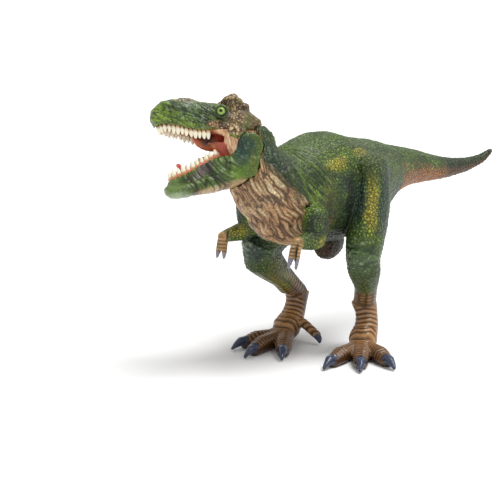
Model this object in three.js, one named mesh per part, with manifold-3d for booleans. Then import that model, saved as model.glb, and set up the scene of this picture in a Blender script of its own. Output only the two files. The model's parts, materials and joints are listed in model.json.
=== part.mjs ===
// Striding toy dinosaur in moulded vinyl, with a lower jaw that opens and shuts on a pin.
// Millimetres. +Z is up, the figure faces -Y and its left side is +X. It stands on the plane Z = 0.
// The moulded pieces seat in one another on pegs, and the jaw turns on a steel pin through the mouth lining.
import * as THREE from "three";
import { mergeVertices } from "three/addons/utils/BufferGeometryUtils.js";
import Module from "manifold-3d";

const wasm = await Module();
wasm.setup();

// Fits
const SEAM_GAP = 0.3; // between moulded pieces that are glued together
const PEG_GAP = 0.3; // round and beyond a peg in its socket
const JAW_GAP = 0.5; // between the jaw and what it swings past
const PIN_GAP = 0.3; // round the pin in its bores
const OVERRUN = 2; // how far a cut runs past the face that it opens

// Torso
const HIP_HEIGHT = 84;
const HIP_BACK = 14; // hip joint behind the middle of the feet
const TORSO_LENGTH = 112;
const TORSO_WIDTH = 48;
const TORSO_DEPTH = 56;
const CHEST_DOME = 8;
const PUBIS_WIDTH = 14;
const PUBIS_LENGTH = 22;
const PUBIS_DEPTH = 20;

// Tail
const TAIL_LENGTH = 97;
const TAIL_SWAY = 13; // tip to the left of the middle
const TAIL_DROP = 5.3; // lowest part of the middle line below its root
const TAIL_TIP_DOME = 2;
const TAIL_PEG_RADIUS = 4;
const TAIL_PEG_LENGTH = 9;

// Neck
const NECK_FORWARD = 22; // middle line from its root in the chest to under the skull
const NECK_RISE = 35;
const NECK_TURN = 11; // to the figure's right
const NECK_WIDTH = 40;
const NECK_DEPTH = 44;
const NECK_PEG_RADIUS = 3.5;

// Skull, in the head's frame: x left, y back, z up
const HEAD_YAW_DEGREES = -42;
const HEAD_PITCH_DEGREES = -6;
const HEAD_ROLL_DEGREES = -18;
const SKULL_LENGTH = 50;
const SKULL_WIDTH = 28;
const SKULL_HEIGHT = 20;
const SNOUT_DOME = 2.2;
const SKULL_REAR_DOME = 6.5;
const SKULL_PEG_RADIUS = 1.8;
const LIP_WALL = 0.9;
const LIP_HANG = 1; // of the lip's fullness below the gum's foot
const PALATE_RISE = 6.5; // roof of the mouth above the lip
const BROW_RADIUS = 3.8;
const CREST_RADIUS = 3.2;
const CHEEK_RADIUS = 3.4;
const EYE_RADIUS = 3;
const NOSTRIL_RADIUS = 1.3;

// Lower jaw, drawn wide open, as the figure holds it
const JAW_TRAVEL_DEGREES = 25; // from wide open to shut
const HINGE_DROP = 3; // pin below the head frame's origin
const JAW_LENGTH = 38;
const JAW_WIDTH = 30;
const JAW_DEPTH = 17;
const JAW_FLOOR = 2.4;
const CHIN_DOME = 1.6;
const RAMUS_RADIUS = 6.4; // round upper end of the jaw's side plate
const RAMUS_THICKNESS = 3.2;
const RAMUS_BEVEL = 0.9;
const PIN_RADIUS = 1.2;
const PIN_BORE_DEPTH = 1.6;

// Teeth
const UPPER_TEETH_PER_SIDE = 13;
const UPPER_TOOTH_LENGTH = 3.3;
const LOWER_TEETH_PER_SIDE = 11;
const LOWER_TOOTH_LENGTH = 3.1;
const TOOTH_RAKE = 0.8; // tip behind the root
const GUM_WIDTH = 2;
const GUM_HEIGHT = 1.2;
const TOOTH_SHARE = 0.525; // of the gum's width, for a tooth's radius

// Mouth lining and tongue
const LINING_GAP = 1.1; // between the cheek skin and the side plates of the jaw
const LINING_REACH = 18; // cheek skin ahead of the pin
const LINING_BACK = 3; // behind the pin
const LINING_WALL = 1.8;
const THROAT_BACK = 4; // end of the throat's hollow ahead of the pin
const TONGUE_LENGTH = 26;
const TONGUE_GAP = 1.65; // between the tongue and the gums beside it
const TONGUE_THICKNESS = 3;

// Arms
const SHOULDER_DROP = 4; // below the neck's root
const SHOULDER_INSET = 1.12; // inside the trunk's side
const SHOULDER_FORWARD = 5.84; // ahead of the neck's root
const UPPER_ARM_LENGTH = 17;
const UPPER_ARM_RADIUS = 6.4;
const FOREARM_LENGTH = 16;
const FOREARM_RADIUS = 4.4;
const WRIST_RADIUS = 2.7;
const FINGER_LENGTH = 12;
const FINGER_RADIUS = 1.5;
const FINGER_SPREAD = 2.2;
const ARM_PEG_RADIUS = 2;
const ARM_PEG_LENGTH = 5;

// Legs
const HIP_INSET = 4.99; // hip joint inside the trunk's side
const THIGH_WIDTH = 21; // side to side
const THIGH_DEPTH = 38; // front to back
const LEFT_KNEE_REACH = 21; // knee ahead of the hip
const RIGHT_KNEE_REACH = 37;
const KNEE_SPREAD = 10; // knee further out than the hip
const KNEE_WIDTH = 17.5;
const KNEE_DEPTH = 22;
const SHIN_WIDTH = 12;
const SHIN_DEPTH = 14;
const ANKLE_HEIGHT = 25;
const LEG_PEG_RADIUS = 4;
const LEG_PEG_LENGTH = 7;
const ANKLE_PEG_RADIUS = 2.4;
const ANKLE_PEG_LENGTH = 5;

// Feet
const STANCE = 23; // half the distance between the balls of the feet
const LEFT_BALL_BACK = 2; // ball of the foot behind the middle of the feet
const RIGHT_BALL_BACK = -1;
const LEFT_TURN_DEGREES = 30; // middle toe outwards
const RIGHT_TURN_DEGREES = -6;
const TOE_LENGTH = 33; // ball to the end of the middle toe's flesh
const BALL_RADIUS = 7.2;
const CUFF_RADIUS = 6.5; // loose skin at the top of the foot
const TOE_RADIUS = 4.4;
const TOE_SPREAD_DEGREES = 25;
const CLAW_LENGTH = 9;
const CLAW_RADIUS = 2.6;
const HALLUX_LENGTH = 13;
const HALLUX_RADIUS = 2.3;
const SOLE_CUT = 0.5; // flat worn on the underside

// Facets
const BODY_SIDES = 20;
const LIMB_SIDES = 12;
const DIGIT_SIDES = 7;
const TOOTH_SIDES = 5;
const RAMUS_SEGMENTS = 5;
const RAMUS_BEVEL_SEGMENTS = 2;
const DOME_RINGS = 1;

const Y = new THREE.Vector3(0, 1, 0);
const Z = new THREE.Vector3(0, 0, 1);
const vector = (x, y, z) => new THREE.Vector3(x, y, z);
const radians = THREE.MathUtils.degToRad;

// Turns a closed geometry into a solid for cutting and joining.
function solid(geometry) {
  const bare = geometry.index ? geometry.toNonIndexed() : geometry.clone();
  bare.deleteAttribute("normal");
  bare.deleteAttribute("uv");
  const merged = mergeVertices(bare, 1e-4);
  return new wasm.Manifold(
    new wasm.Mesh({
      numProp: 3,
      vertProperties: merged.attributes.position.array,
      triVerts: new Uint32Array(merged.index.array),
    }),
  );
}

// Turns a solid back into a geometry with flat facets.
function geometryOf(made) {
  const { numProp, vertProperties, triVerts } = made.getMesh();
  const count = vertProperties.length / numProp;
  const points = new Float32Array(count * 3);
  for (let i = 0; i < count; i++) {
    points.set(vertProperties.subarray(i * numProp, i * numProp + 3), i * 3);
  }
  const geometry = new THREE.BufferGeometry();
  geometry.setAttribute("position", new THREE.BufferAttribute(points, 3));
  geometry.setIndex(new THREE.BufferAttribute(triVerts, 1));
  const faceted = geometry.toNonIndexed();
  faceted.computeVertexNormals();
  return faceted;
}

const join = (solids) => solids.reduce((all, next) => all.add(next));
const placed = (made, matrix) => solid(geometryOf(made).applyMatrix4(matrix));

// The largest body of a solid, for a cut that also frees a sliver.
const mainBody = (made) => made.decompose().reduce((a, b) => (b.volume() > a.volume() ? b : a));

// A smooth value at place t in a row of numbers.
function smooth(values, t) {
  const last = values.length - 1;
  const i = Math.min(Math.floor(t), last - 1);
  const u = t - i;
  const [a, b, c, d] = [i - 1, i, i + 1, i + 2].map((k) => values[Math.min(Math.max(k, 0), last)]);
  const square = 2 * a - 5 * b + 4 * c - d;
  const cube = 3 * b - a - 3 * c + d;
  return 0.5 * (2 * b + (c - a) * u + square * u ** 2 + cube * u ** 3);
}

// The middle, the heading and the two cross directions of a row of stations at place t.
function frameAt(stations, t, up) {
  const span = stations.length - 1;
  const middle = (place) =>
    vector(...["x", "y", "z"].map((axis) => smooth(stations.map((s) => s.at[axis]), place)));
  const ahead = middle(Math.min(t + 1 / 8, span)).sub(middle(Math.max(t - 1 / 8, 0))).normalize();
  const side = ahead.clone().cross(up).normalize();
  const rise = side.clone().cross(ahead).normalize();
  return { middle: middle(t), ahead, side, rise };
}

// Skins a row of oval stations {at, half, top, bottom} into one closed solid. Half is the reach to either
// side; top and bottom are the reach along and against `up`. Domes close the two ends, or leave them flat.
function loft(stations, { up = Z, sides = LIMB_SIDES, steps = 2, square = 2.2, domes = [0, 0], grow = 0 }) {
  const span = stations.length - 1;
  const reach = (key, t) => smooth(stations.map((s) => s[key]), t) + grow;
  const slices = [];
  const dome = (t, length, sign) => {
    for (let k = 1; k <= DOME_RINGS && length > 0; k++) {
      const angle = (Math.PI / 2) * (k / (DOME_RINGS + 1));
      slices.push({ t, share: Math.cos(angle), shift: sign * Math.sin(angle) * (length + grow) });
    }
  };
  dome(0, domes[0], -1);
  slices.reverse();
  for (let k = 0; k <= span * steps; k++) {
    const flatStart = k === 0 && domes[0] === 0;
    const flatEnd = k === span * steps && domes[1] === 0;
    slices.push({ t: k / steps, share: 1, shift: flatStart ? -grow : flatEnd ? grow : 0 });
  }
  dome(span, domes[1], 1);
  const points = [];
  for (const { t, share, shift } of slices) {
    const { middle, ahead, side, rise } = frameAt(stations, t, up);
    for (let k = 0; k < sides; k++) {
      const angle = (2 * Math.PI * k) / sides;
      const [across, along] = [Math.cos(angle), Math.sin(angle)].map(
        (v) => share * Math.sign(v) * Math.abs(v) ** (2 / square),
      );
      const point = middle.clone().addScaledVector(ahead, shift);
      point.addScaledVector(side, across * reach("half", t));
      point.addScaledVector(rise, along * reach(along > 0 ? "top" : "bottom", t));
      points.push(point);
    }
  }
  const pole = (t, shift) => {
    const { middle, ahead } = frameAt(stations, t, up);
    return middle.addScaledVector(ahead, shift);
  };
  points.push(pole(0, -domes[0] - grow), pole(span, domes[1] + grow));
  const index = [];
  const last = (slices.length - 1) * sides;
  for (let k = 0; k < sides; k++) {
    const next = (k + 1) % sides;
    for (let row = 0; row < last; row += sides) {
      const [a, b, c, d] = [row + k, row + next, row + sides + next, row + sides + k];
      index.push(a, c, b, a, d, c);
    }
    index.push(points.length - 2, k, next);
    index.push(points.length - 1, last + next, last + k);
  }
  const geometry = new THREE.BufferGeometry().setFromPoints(points);
  return solid(geometry.setIndex(index));
}

// A ball stretched to three radii.
function ball(centre, radii, sides = LIMB_SIDES) {
  const geometry = new THREE.SphereGeometry(1, sides, Math.round(sides / 2));
  return solid(geometry.scale(...radii).translate(centre.x, centre.y, centre.z));
}

// A round bar from one point to another.
function bar(from, to, radius, sides = LIMB_SIDES) {
  const along = to.clone().sub(from);
  const geometry = new THREE.CylinderGeometry(radius, radius, along.length(), sides);
  geometry.applyQuaternion(new THREE.Quaternion().setFromUnitVectors(Y, along.normalize()));
  const middle = from.clone().lerp(to, 0.5);
  return solid(geometry.translate(middle.x, middle.y, middle.z));
}

// The peg that is fused to one piece, and the socket that its neighbour has for it.
function pegAndSocket(from, to, radius) {
  const floor = to.clone().addScaledVector(to.clone().sub(from).normalize(), PEG_GAP);
  return { peg: bar(from, to, radius), socket: bar(from, floor, radius + PEG_GAP) };
}

// Torso: rows are [behind the hip, half width, back above the hip, belly below the hip]
const TORSO_SHARES = [
  [-0.589, 0.3, 0.3, 0.32],
  [-0.527, 0.375, 0.393, 0.375],
  [-0.393, 0.44, 0.482, 0.437],
  [-0.232, 0.49, 0.536, 0.464],
  [-0.125, 0.5, 0.539, 0.482],
  [0, 0.479, 0.464, 0.464],
  [0.107, 0.437, 0.416, 0.446],
  [0.214, 0.375, 0.385, 0.393],
  [0.321, 0.302, 0.33, 0.304],
  [0.411, 0.25, 0.28, 0.223],
];
const SHOULDER_ROW = 2; // the row at the shoulders
const HIP_ROW = 5; // the row at the hip
const hips = vector(0, HIP_BACK, HIP_HEIGHT);
const torsoStations = TORSO_SHARES.map(([back, half, top, bottom]) => ({
  at: hips.clone().addScaledVector(Y, back * TORSO_LENGTH),
  half: half * TORSO_WIDTH,
  top: top * TORSO_DEPTH,
  bottom: bottom * TORSO_DEPTH,
}));
const torsoEnd = torsoStations[torsoStations.length - 1];
const PUBIS_FORWARD_SHARE = 0.09; // of the torso's length, ahead of the hip
const pubisCentre = hips.clone().add(vector(0, -PUBIS_FORWARD_SHARE * TORSO_LENGTH, -TORSO_DEPTH / 2));

// The trunk without its sockets, or the same with every face moved out by `grow`.
function trunk(grow = 0) {
  const radii = [PUBIS_WIDTH, PUBIS_LENGTH, PUBIS_DEPTH].map((size) => size / 2 + grow);
  const barrel = loft(torsoStations, { sides: BODY_SIDES, domes: [CHEST_DOME, 0], grow });
  return barrel.add(ball(pubisCentre, radii));
}
const grownTrunk = trunk(SEAM_GAP);

// Tail: rows are [behind its root, to the left, below its root, half width, top, bottom]
const TAIL_SHARES = [
  [0, 0, 0, 1, 1, 1],
  [0.175, 0, 0, 0.8, 0.77, 0.78],
  [0.38, 0.08, 0.38, 0.66, 0.55, 0.64],
  [0.577, 0.23, 0.87, 0.5, 0.39, 0.48],
  [0.794, 0.54, 1, 0.32, 0.245, 0.3],
  [0.928, 0.81, 0.57, 0.21, 0.165, 0.19],
  [0.98, 1, -0.1, 0.12, 0.09, 0.11],
];
const tailStations = TAIL_SHARES.map(([back, left, drop, half, top, bottom]) => ({
  at: torsoEnd.at.clone().add(vector(left * TAIL_SWAY, SEAM_GAP + back * TAIL_LENGTH, -drop * TAIL_DROP)),
  half: half * torsoEnd.half,
  top: top * torsoEnd.top,
  bottom: bottom * torsoEnd.bottom,
}));
const tailPeg = pegAndSocket(
  tailStations[0].at.clone().addScaledVector(Y, TAIL_PEG_LENGTH / 2),
  torsoEnd.at.clone().addScaledVector(Y, -TAIL_PEG_LENGTH),
  TAIL_PEG_RADIUS,
);
const tail = loft(tailStations, { sides: LIMB_SIDES + 2, domes: [0, TAIL_TIP_DOME] }).add(tailPeg.peg);

// Head: its frame hangs from the end of the neck's middle line
const NECK_ROOT_SHARE = 0.43; // of the torso's length, ahead of the hip
const HEAD_SEAT_SHARES = [-1.09, -0.977, 0.843]; // of the neck's turn, forward reach and rise
const neckRoot = hips.clone().addScaledVector(Y, -NECK_ROOT_SHARE * TORSO_LENGTH);
const neckReach = vector(NECK_TURN, NECK_FORWARD, NECK_RISE);
const headSeat = neckRoot.clone().add(vector(...HEAD_SEAT_SHARES).multiply(neckReach));
const head = new THREE.Group();
head.position.copy(headSeat);
head.rotation.set(...[HEAD_PITCH_DEGREES, HEAD_ROLL_DEGREES, HEAD_YAW_DEGREES].map(radians), "ZXY");
head.updateMatrix();

// Skull: rows are [ahead of the frame's origin, half width, crown, lip]
const SKULL_SHARES = [
  [0.88, 0.175, 0.62, 0.24],
  [0.82, 0.257, 0.86, 0.27],
  [0.688, 0.325, 0.96, 0.22],
  [0.546, 0.371, 0.9, 0.14],
  [0.41, 0.421, 0.88, 0.13],
  [0.286, 0.464, 0.9, 0.19],
  [0.19, 0.49, 0.92, 0.2],
  [0.06, 0.49, 0.86, 0.22],
  [-0.04, 0.43, 0.72, 0.25],
];
const WIDEST_SHARE = 0.24; // of the skull's height, where its sides stand out most
const skullRow = SKULL_SHARES.map(([ahead, half, crown, lip]) => ({
  y: -ahead * SKULL_LENGTH,
  half: half * SKULL_WIDTH,
  crown: crown * SKULL_HEIGHT,
  lip: lip * SKULL_HEIGHT,
}));
const BROW_SHARES = [0.35, 0.17, 0.9]; // of the skull's width, length and height
const CREST_SHARES = [0.33, 0.09, 0.76];
const CHEEK_SHARES = [0.43, 0.13, 0.16];
const EYE_SHARES = [0.445, 0.29, 0.63];
const NOSTRIL_SHARES = [0.22, 0.86, 0.66];
const onSkull = ([left, ahead, rise], side) =>
  vector(side * left * SKULL_WIDTH, -ahead * SKULL_LENGTH, rise * SKULL_HEIGHT);
const BUMP_STRETCH_SHARES = [0.95, 1.5, 1]; // of a bump's radius, across, along and up
const bump = (shares, radius, side) =>
  ball(onSkull(shares, side), BUMP_STRETCH_SHARES.map((stretch) => stretch * radius), DIGIT_SIDES);

// The skull before it is hollowed. Its bumps are left out where it is grown to clear the neck.
function skullBlank(grow = 0) {
  const stations = skullRow.map(({ y, half, crown, lip }) => ({
    at: vector(0, y, lip + WIDEST_SHARE * (crown - lip)),
    half,
    top: (1 - WIDEST_SHARE) * (crown - lip),
    bottom: WIDEST_SHARE * (crown - lip) + LIP_HANG,
  }));
  const domes = [SNOUT_DOME, SKULL_REAR_DOME];
  const parts = [loft(stations, { sides: LIMB_SIDES + 2, square: 2.8, domes, grow })];
  for (const side of grow > 0 ? [] : [-1, 1]) {
    parts.push(bump(BROW_SHARES, BROW_RADIUS, side));
    parts.push(bump(CREST_SHARES, CREST_RADIUS, side));
    parts.push(bump(CHEEK_SHARES, CHEEK_RADIUS, side));
    parts.push(ball(onSkull(EYE_SHARES, side), Array(3).fill(EYE_RADIUS), DIGIT_SIDES + 2));
  }
  return join(parts);
}

// The hollow under the skull that takes the gums and the lining.
function mouthHollow(grow = 0) {
  const stations = skullRow.slice(0, -1).map(({ y, half, lip }) => ({
    at: vector(0, y, lip),
    half: half - LIP_WALL,
    top: PALATE_RISE,
    bottom: SKULL_HEIGHT,
  }));
  return loft(stations, { square: 3, steps: 1, domes: [LIP_WALL, 0], grow });
}

// Lower jaw: rows are [ahead of the pin, below the pin, half width, rim above the middle, chin below it,
// half width of the rim inside the trough that takes the upper teeth, half width of the mouth's floor]
const JAW_SHARES = [
  [0.985, 1.27, 0.15, 0.28, 0.15, 0.09, 0.02],
  [0.92, 1.28, 0.22, 0.36, 0.28, 0.14, 0.07],
  [0.755, 1.18, 0.29, 0.42, 0.32, 0.205, 0.14],
  [0.58, 1, 0.335, 0.49, 0.385, 0.255, 0.185],
  [0.415, 0.83, 0.385, 0.56, 0.48, 0.3, 0.235],
  [0.24, 0.68, 0.44, 0.5, 0.52, 0.39, 0.33],
  [0.06, 0.59, 0.485, 0.42, 0.46, 0.47, 0.395],
  [-0.08, 0.47, 0.49, 0.28, 0.3, 0.48, 0.4],
];
const TROUGH_SHARE = 0.46; // depth of the trough in the jaw's height
const RIM_SQUARENESS = 8;
const hinge = vector(0, 0, -HINGE_DROP);
const jawRow = JAW_SHARES.map(([ahead, drop, half, rim, chin, band, floor]) => ({
  at: hinge.clone().add(vector(0, -ahead * JAW_LENGTH, -drop * JAW_DEPTH)),
  half: half * JAW_WIDTH,
  top: rim * JAW_DEPTH,
  bottom: chin * JAW_DEPTH,
  band: band * JAW_WIDTH,
  floor: floor * JAW_WIDTH,
}));

// The jaw's inside. Its back end runs on by OVERRUN so that the jaw is open towards the throat.
function jawHollow(grow = 0) {
  const stations = jawRow.slice(1).map((s) => ({
    at: s.at,
    half: s.floor,
    top: s.top + OVERRUN,
    bottom: s.bottom - JAW_FLOOR,
  }));
  const end = stations[stations.length - 1];
  stations.push({ ...end, at: end.at.clone().addScaledVector(Y, OVERRUN) });
  return loft(stations, { square: 4, steps: 1, domes: [CHIN_DOME, 0], grow });
}

// Side plate of the jaw, from its round end at the pin down to the angle of the jaw.
const RAMUS_SHARES = { front: [-0.26, -0.3], heel: [0.1, -0.72], sole: [-0.12, -0.95] };
function ramus(side, grow) {
  const radius = RAMUS_RADIUS + grow;
  const corner = ([along, rise]) => [along * JAW_LENGTH, rise * JAW_DEPTH];
  const [front, heel, sole] = ["front", "heel", "sole"].map((name) => corner(RAMUS_SHARES[name]));
  const outline = new THREE.Shape();
  outline.absarc(0, 0, radius, 0, Math.PI, false);
  outline.quadraticCurveTo(-radius, -RAMUS_RADIUS / 2, front[0], front[1] + grow);
  outline.lineTo(front[0], sole[1] - grow);
  outline.lineTo(sole[0], sole[1] - grow);
  outline.quadraticCurveTo(heel[0] - grow, sole[1] - grow, heel[0] + grow, heel[1]);
  outline.lineTo(radius, 0);
  const depth = RAMUS_THICKNESS - 2 * RAMUS_BEVEL + 2 * grow;
  const geometry = new THREE.ExtrudeGeometry(outline, {
    depth,
    curveSegments: RAMUS_SEGMENTS,
    bevelSegments: RAMUS_BEVEL_SEGMENTS,
    bevelThickness: RAMUS_BEVEL,
    bevelSize: RAMUS_BEVEL,
    bevelOffset: -RAMUS_BEVEL,
  });
  const inner = JAW_WIDTH / 2 - RAMUS_THICKNESS + RAMUS_BEVEL - grow;
  geometry.rotateX(Math.PI / 2).rotateZ(Math.PI / 2);
  geometry.translate(side > 0 ? inner : -inner - depth, hinge.y, hinge.z);
  return solid(geometry);
}

// The jaw before its bores. `filled` leaves out the hollow, for what must stay clear of the whole jaw.
function jawBlank(grow = 0, filled = false) {
  const lower = jawRow.map(({ at, half, top, bottom }) => {
    const middle = (1 - TROUGH_SHARE) * (top + bottom) / 2;
    return { at: at.clone().addScaledVector(Z, middle - bottom), half, top: middle, bottom: middle };
  });
  const band = jawRow.map(({ at, band, top, bottom }) => ({
    at,
    half: band,
    top: top - GUM_HEIGHT - SEAM_GAP,
    bottom: bottom - JAW_FLOOR,
  }));
  const body = join([
    loft(lower, { sides: LIMB_SIDES + 2, square: 2.5, domes: [CHIN_DOME, 0], grow }),
    loft(band, { square: RIM_SQUARENESS, steps: 1, domes: [SEAM_GAP, 0], grow }),
  ]);
  const hollowed = filled ? body : body.subtract(jawHollow(-grow));
  return join([hollowed, ramus(1, grow), ramus(-1, grow)]);
}

// The room that the jaw needs wide open and shut, with JAW_GAP round it.
function jawRoom() {
  const blank = jawBlank(JAW_GAP, true);
  const turn = new THREE.Matrix4().makeRotationX(-radians(JAW_TRAVEL_DEGREES));
  const shut = new THREE.Matrix4().makeTranslation(hinge).multiply(turn);
  shut.multiply(new THREE.Matrix4().makeTranslation(hinge.clone().negate()));
  return blank.add(placed(blank, shut));
}
const across = (reach) => vector(reach, hinge.y, hinge.z);
const boreEnd = JAW_WIDTH / 2 - RAMUS_THICKNESS + PIN_BORE_DEPTH;
const pinBore = bar(across(-boreEnd), across(boreEnd), PIN_RADIUS + PIN_GAP);
const pin = bar(across(PIN_GAP - boreEnd), across(boreEnd - PIN_GAP), PIN_RADIUS);
const lowerJaw = mainBody(jawBlank().subtract(pinBore));

// Teeth: each row is one moulding, with its teeth standing on a curved gum
const TOOTH_TIP_SHARE = 0.5; // of a tooth's radius
const FRONT_TOOTH_SHARE = 0.72; // of the longest tooth, at the two ends of a row
const LONGEST_TOOTH_SHARE = 0.8; // under 1 puts the longest tooth ahead of the row's middle
function tooth(root, tip) {
  const along = tip.clone().sub(root);
  const foot = TOOTH_SHARE * GUM_WIDTH;
  const end = TOOTH_TIP_SHARE * foot;
  const geometry = new THREE.CylinderGeometry(end, foot, along.length(), TOOTH_SIDES);
  geometry.applyQuaternion(new THREE.Quaternion().setFromUnitVectors(Y, along.clone().normalize()));
  const middle = root.clone().addScaledVector(along, 0.5);
  return solid(geometry.translate(middle.x, middle.y, middle.z));
}

// Teeth along a curve from the front to the corner of the mouth; `out` points from the gum to the tips.
function toothRow(curve, count, length, out) {
  const teeth = [];
  for (let k = 0; k < count; k++) {
    const share = (k + 0.5) / count;
    const swell = Math.sin(Math.PI * share ** LONGEST_TOOTH_SHARE);
    const size = FRONT_TOOTH_SHARE + (1 - FRONT_TOOTH_SHARE) * swell;
    const root = curve.getPointAt(share);
    const tip = root.clone().addScaledVector(out, size * length).addScaledVector(Y, TOOTH_RAKE);
    teeth.push(tooth(root, tip));
  }
  return teeth;
}

const UPPER_ROW_STATIONS = 5; // of the skull's, from the snout back
const upperRow = skullRow.slice(0, UPPER_ROW_STATIONS);
const gumStations = (inset) =>
  upperRow.map(({ y, half, lip }) => ({
    at: vector(0, y, lip + GUM_HEIGHT / 2),
    half: half - LIP_WALL - SEAM_GAP - inset,
    top: GUM_HEIGHT / 2,
    bottom: GUM_HEIGHT / 2,
  }));
const gumInside = gumStations(GUM_WIDTH).map((s) => ({ ...s, top: GUM_HEIGHT, bottom: GUM_HEIGHT }));
gumInside[0].at.addScaledVector(Y, GUM_WIDTH);
const gumEnd = gumInside[gumInside.length - 1];
gumInside.push({ ...gumEnd, at: gumEnd.at.clone().addScaledVector(Y, OVERRUN) });
const upperGum = loft(gumStations(0), { square: RIM_SQUARENESS, steps: 1 }).subtract(
  loft(gumInside, { square: RIM_SQUARENESS, steps: 1 }),
);

// The line that one side's teeth stand on, from the middle of the front round to the corner of the mouth.
function rowCurve(stations, side) {
  const points = stations.map(({ at, half }) => at.clone().add(vector(side * half, 0, 0)));
  const corner = points[0].clone();
  corner.y += GUM_WIDTH / 2;
  points[0] = corner.clone().setX(0);
  return new THREE.CatmullRomCurve3([points[0], corner, ...points.slice(1)]);
}
const upperCurve = (side) => rowCurve(gumStations(GUM_WIDTH / 2), side);
const upperTeeth = join([
  upperGum,
  ...[-1, 1].flatMap((side) =>
    toothRow(upperCurve(side), UPPER_TEETH_PER_SIDE, UPPER_TOOTH_LENGTH + GUM_HEIGHT / 2, Z.clone().negate()),
  ),
]);

const LOWER_ROW_STATIONS = 5; // of the jaw's, from the chin back
const lowerRow = jawRow.slice(0, LOWER_ROW_STATIONS);
const rimStations = (inset, top, bottom) =>
  lowerRow.map((s) => ({
    at: s.at.clone().addScaledVector(Z, s.top - GUM_HEIGHT / 2),
    half: s.band - inset,
    top: top,
    bottom: bottom,
  }));
const rimInside = rimStations(GUM_WIDTH, GUM_HEIGHT, GUM_HEIGHT).slice(1);
const rimEnd = rimInside[rimInside.length - 1];
rimInside.push({ ...rimEnd, at: rimEnd.at.clone().addScaledVector(Y, OVERRUN) });
const rimBand = { square: RIM_SQUARENESS, steps: 1 };
const rimOutside = rimStations(0, GUM_HEIGHT / 2, GUM_HEIGHT / 2);
const lowerGum = loft(rimOutside, rimBand).subtract(loft(rimInside, rimBand));
const chinward = jawRow[0].at.clone().sub(lowerRow[lowerRow.length - 1].at).normalize();
const jawRise = chinward.cross(vector(1, 0, 0));
const lowerCurve = (side) => rowCurve(rimStations(GUM_WIDTH / 2, 0, 0), side);
const lowerTeeth = mainBody(
  join([
    lowerGum,
    ...[-1, 1].flatMap((side) =>
      toothRow(lowerCurve(side), LOWER_TEETH_PER_SIDE, LOWER_TOOTH_LENGTH + GUM_HEIGHT / 2, jawRise),
    ),
  ]).subtract(jawBlank(SEAM_GAP)),
);

// Mouth lining: rows are [ahead of the pin in its reach, half width, underside in its depth]
const LINING_SHARES = [
  [1, 0.25, 0.05],
  [0.75, 0.33, 0.34],
  [0.5, 0.4, 0.66],
  [0.25, 0.47, 0.92],
  [0, 0.5, 1],
];
const LINING_TOP_SHARE = 0.55; // of its depth, above the head frame's origin
const liningWidth = JAW_WIDTH - 2 * (RAMUS_THICKNESS + LINING_GAP);
const jawEnd = jawRow[jawRow.length - 1];
const liningDepth = jawEnd.bottom - jawEnd.at.z - JAW_FLOOR - SEAM_GAP; // it rests in the open jaw

// The cheek skin's outline back to `end`, with every face moved in by `wall`.
function cheekBlock(wall, end) {
  const stations = LINING_SHARES.map(([ahead, half, under]) => ({
    at: vector(0, -ahead * LINING_REACH, 0),
    half: half * liningWidth - wall,
    top: LINING_TOP_SHARE * liningDepth + (wall > 0 ? OVERRUN : -wall),
    bottom: under * liningDepth - wall,
  }));
  stations.push({ ...stations[stations.length - 1], at: vector(0, end, 0) });
  if (wall > 0) {
    stations.splice(-2, 1);
    stations[0].at.y -= OVERRUN;
  }
  return loft(stations, { square: 4, steps: 1 });
}
const palateCutter = loft(
  skullRow.slice(0, -1).map(({ y, half, lip }) => ({
    at: vector(0, y, lip),
    half,
    top: GUM_HEIGHT + SEAM_GAP,
    bottom: SKULL_HEIGHT,
  })),
  { square: RIM_SQUARENESS, domes: [SNOUT_DOME, 0] },
);
const throat = cheekBlock(LINING_WALL, -THROAT_BACK);
const palate = mouthHollow(-SEAM_GAP).subtract(palateCutter);
const gumRoom = loft(gumStations(-SEAM_GAP), { square: RIM_SQUARENESS, steps: 1, grow: SEAM_GAP });
const cheeks = cheekBlock(0, LINING_BACK).subtract(throat).subtract(
  gumRoom.subtract(loft(gumInside, { square: RIM_SQUARENESS, steps: 1, grow: -SEAM_GAP })),
);
const mouthLining = mainBody(palate.add(cheeks).subtract(pinBore));

// Tongue: rows are [ahead of the pin, below the pin in the jaw's depth, half width, thickness]
const TONGUE_SHARES = [
  [0.22, 0.98, 0.3, 0.7],
  [0.42, 1.08, 0.5, 1],
  [0.6, 1.08, 0.5, 1],
  [0.74, 0.94, 0.42, 0.85],
  [0.86, 0.74, 0.26, 0.6],
];
const TONGUE_DOME = 1.2;
const TONGUE_ROW = 3; // the jaw's row beside the tongue's widest part
const tongueWidth = 2 * (jawRow[TONGUE_ROW].band - GUM_WIDTH - TONGUE_GAP);
const tongueStations = TONGUE_SHARES.map(([ahead, drop, half, thick]) => ({
  at: hinge.clone().add(vector(0, -ahead * JAW_LENGTH, -drop * JAW_DEPTH)),
  half: half * tongueWidth,
  top: (thick * TONGUE_THICKNESS) / 2,
  bottom: (thick * TONGUE_THICKNESS) / 2,
}));
const rootCentre = tongueStations[1].at.clone().addScaledVector(Z, -TONGUE_THICKNESS / 2);
const tongueRoot = ball(rootCentre, [tongueWidth / 2, TONGUE_LENGTH / 4, TONGUE_THICKNESS], DIGIT_SIDES + 2);
const tongue = mainBody(
  loft(tongueStations, { sides: DIGIT_SIDES + 2, domes: [TONGUE_DOME, TONGUE_DOME] })
    .add(tongueRoot)
    .subtract(jawBlank(SEAM_GAP)),
);

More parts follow.
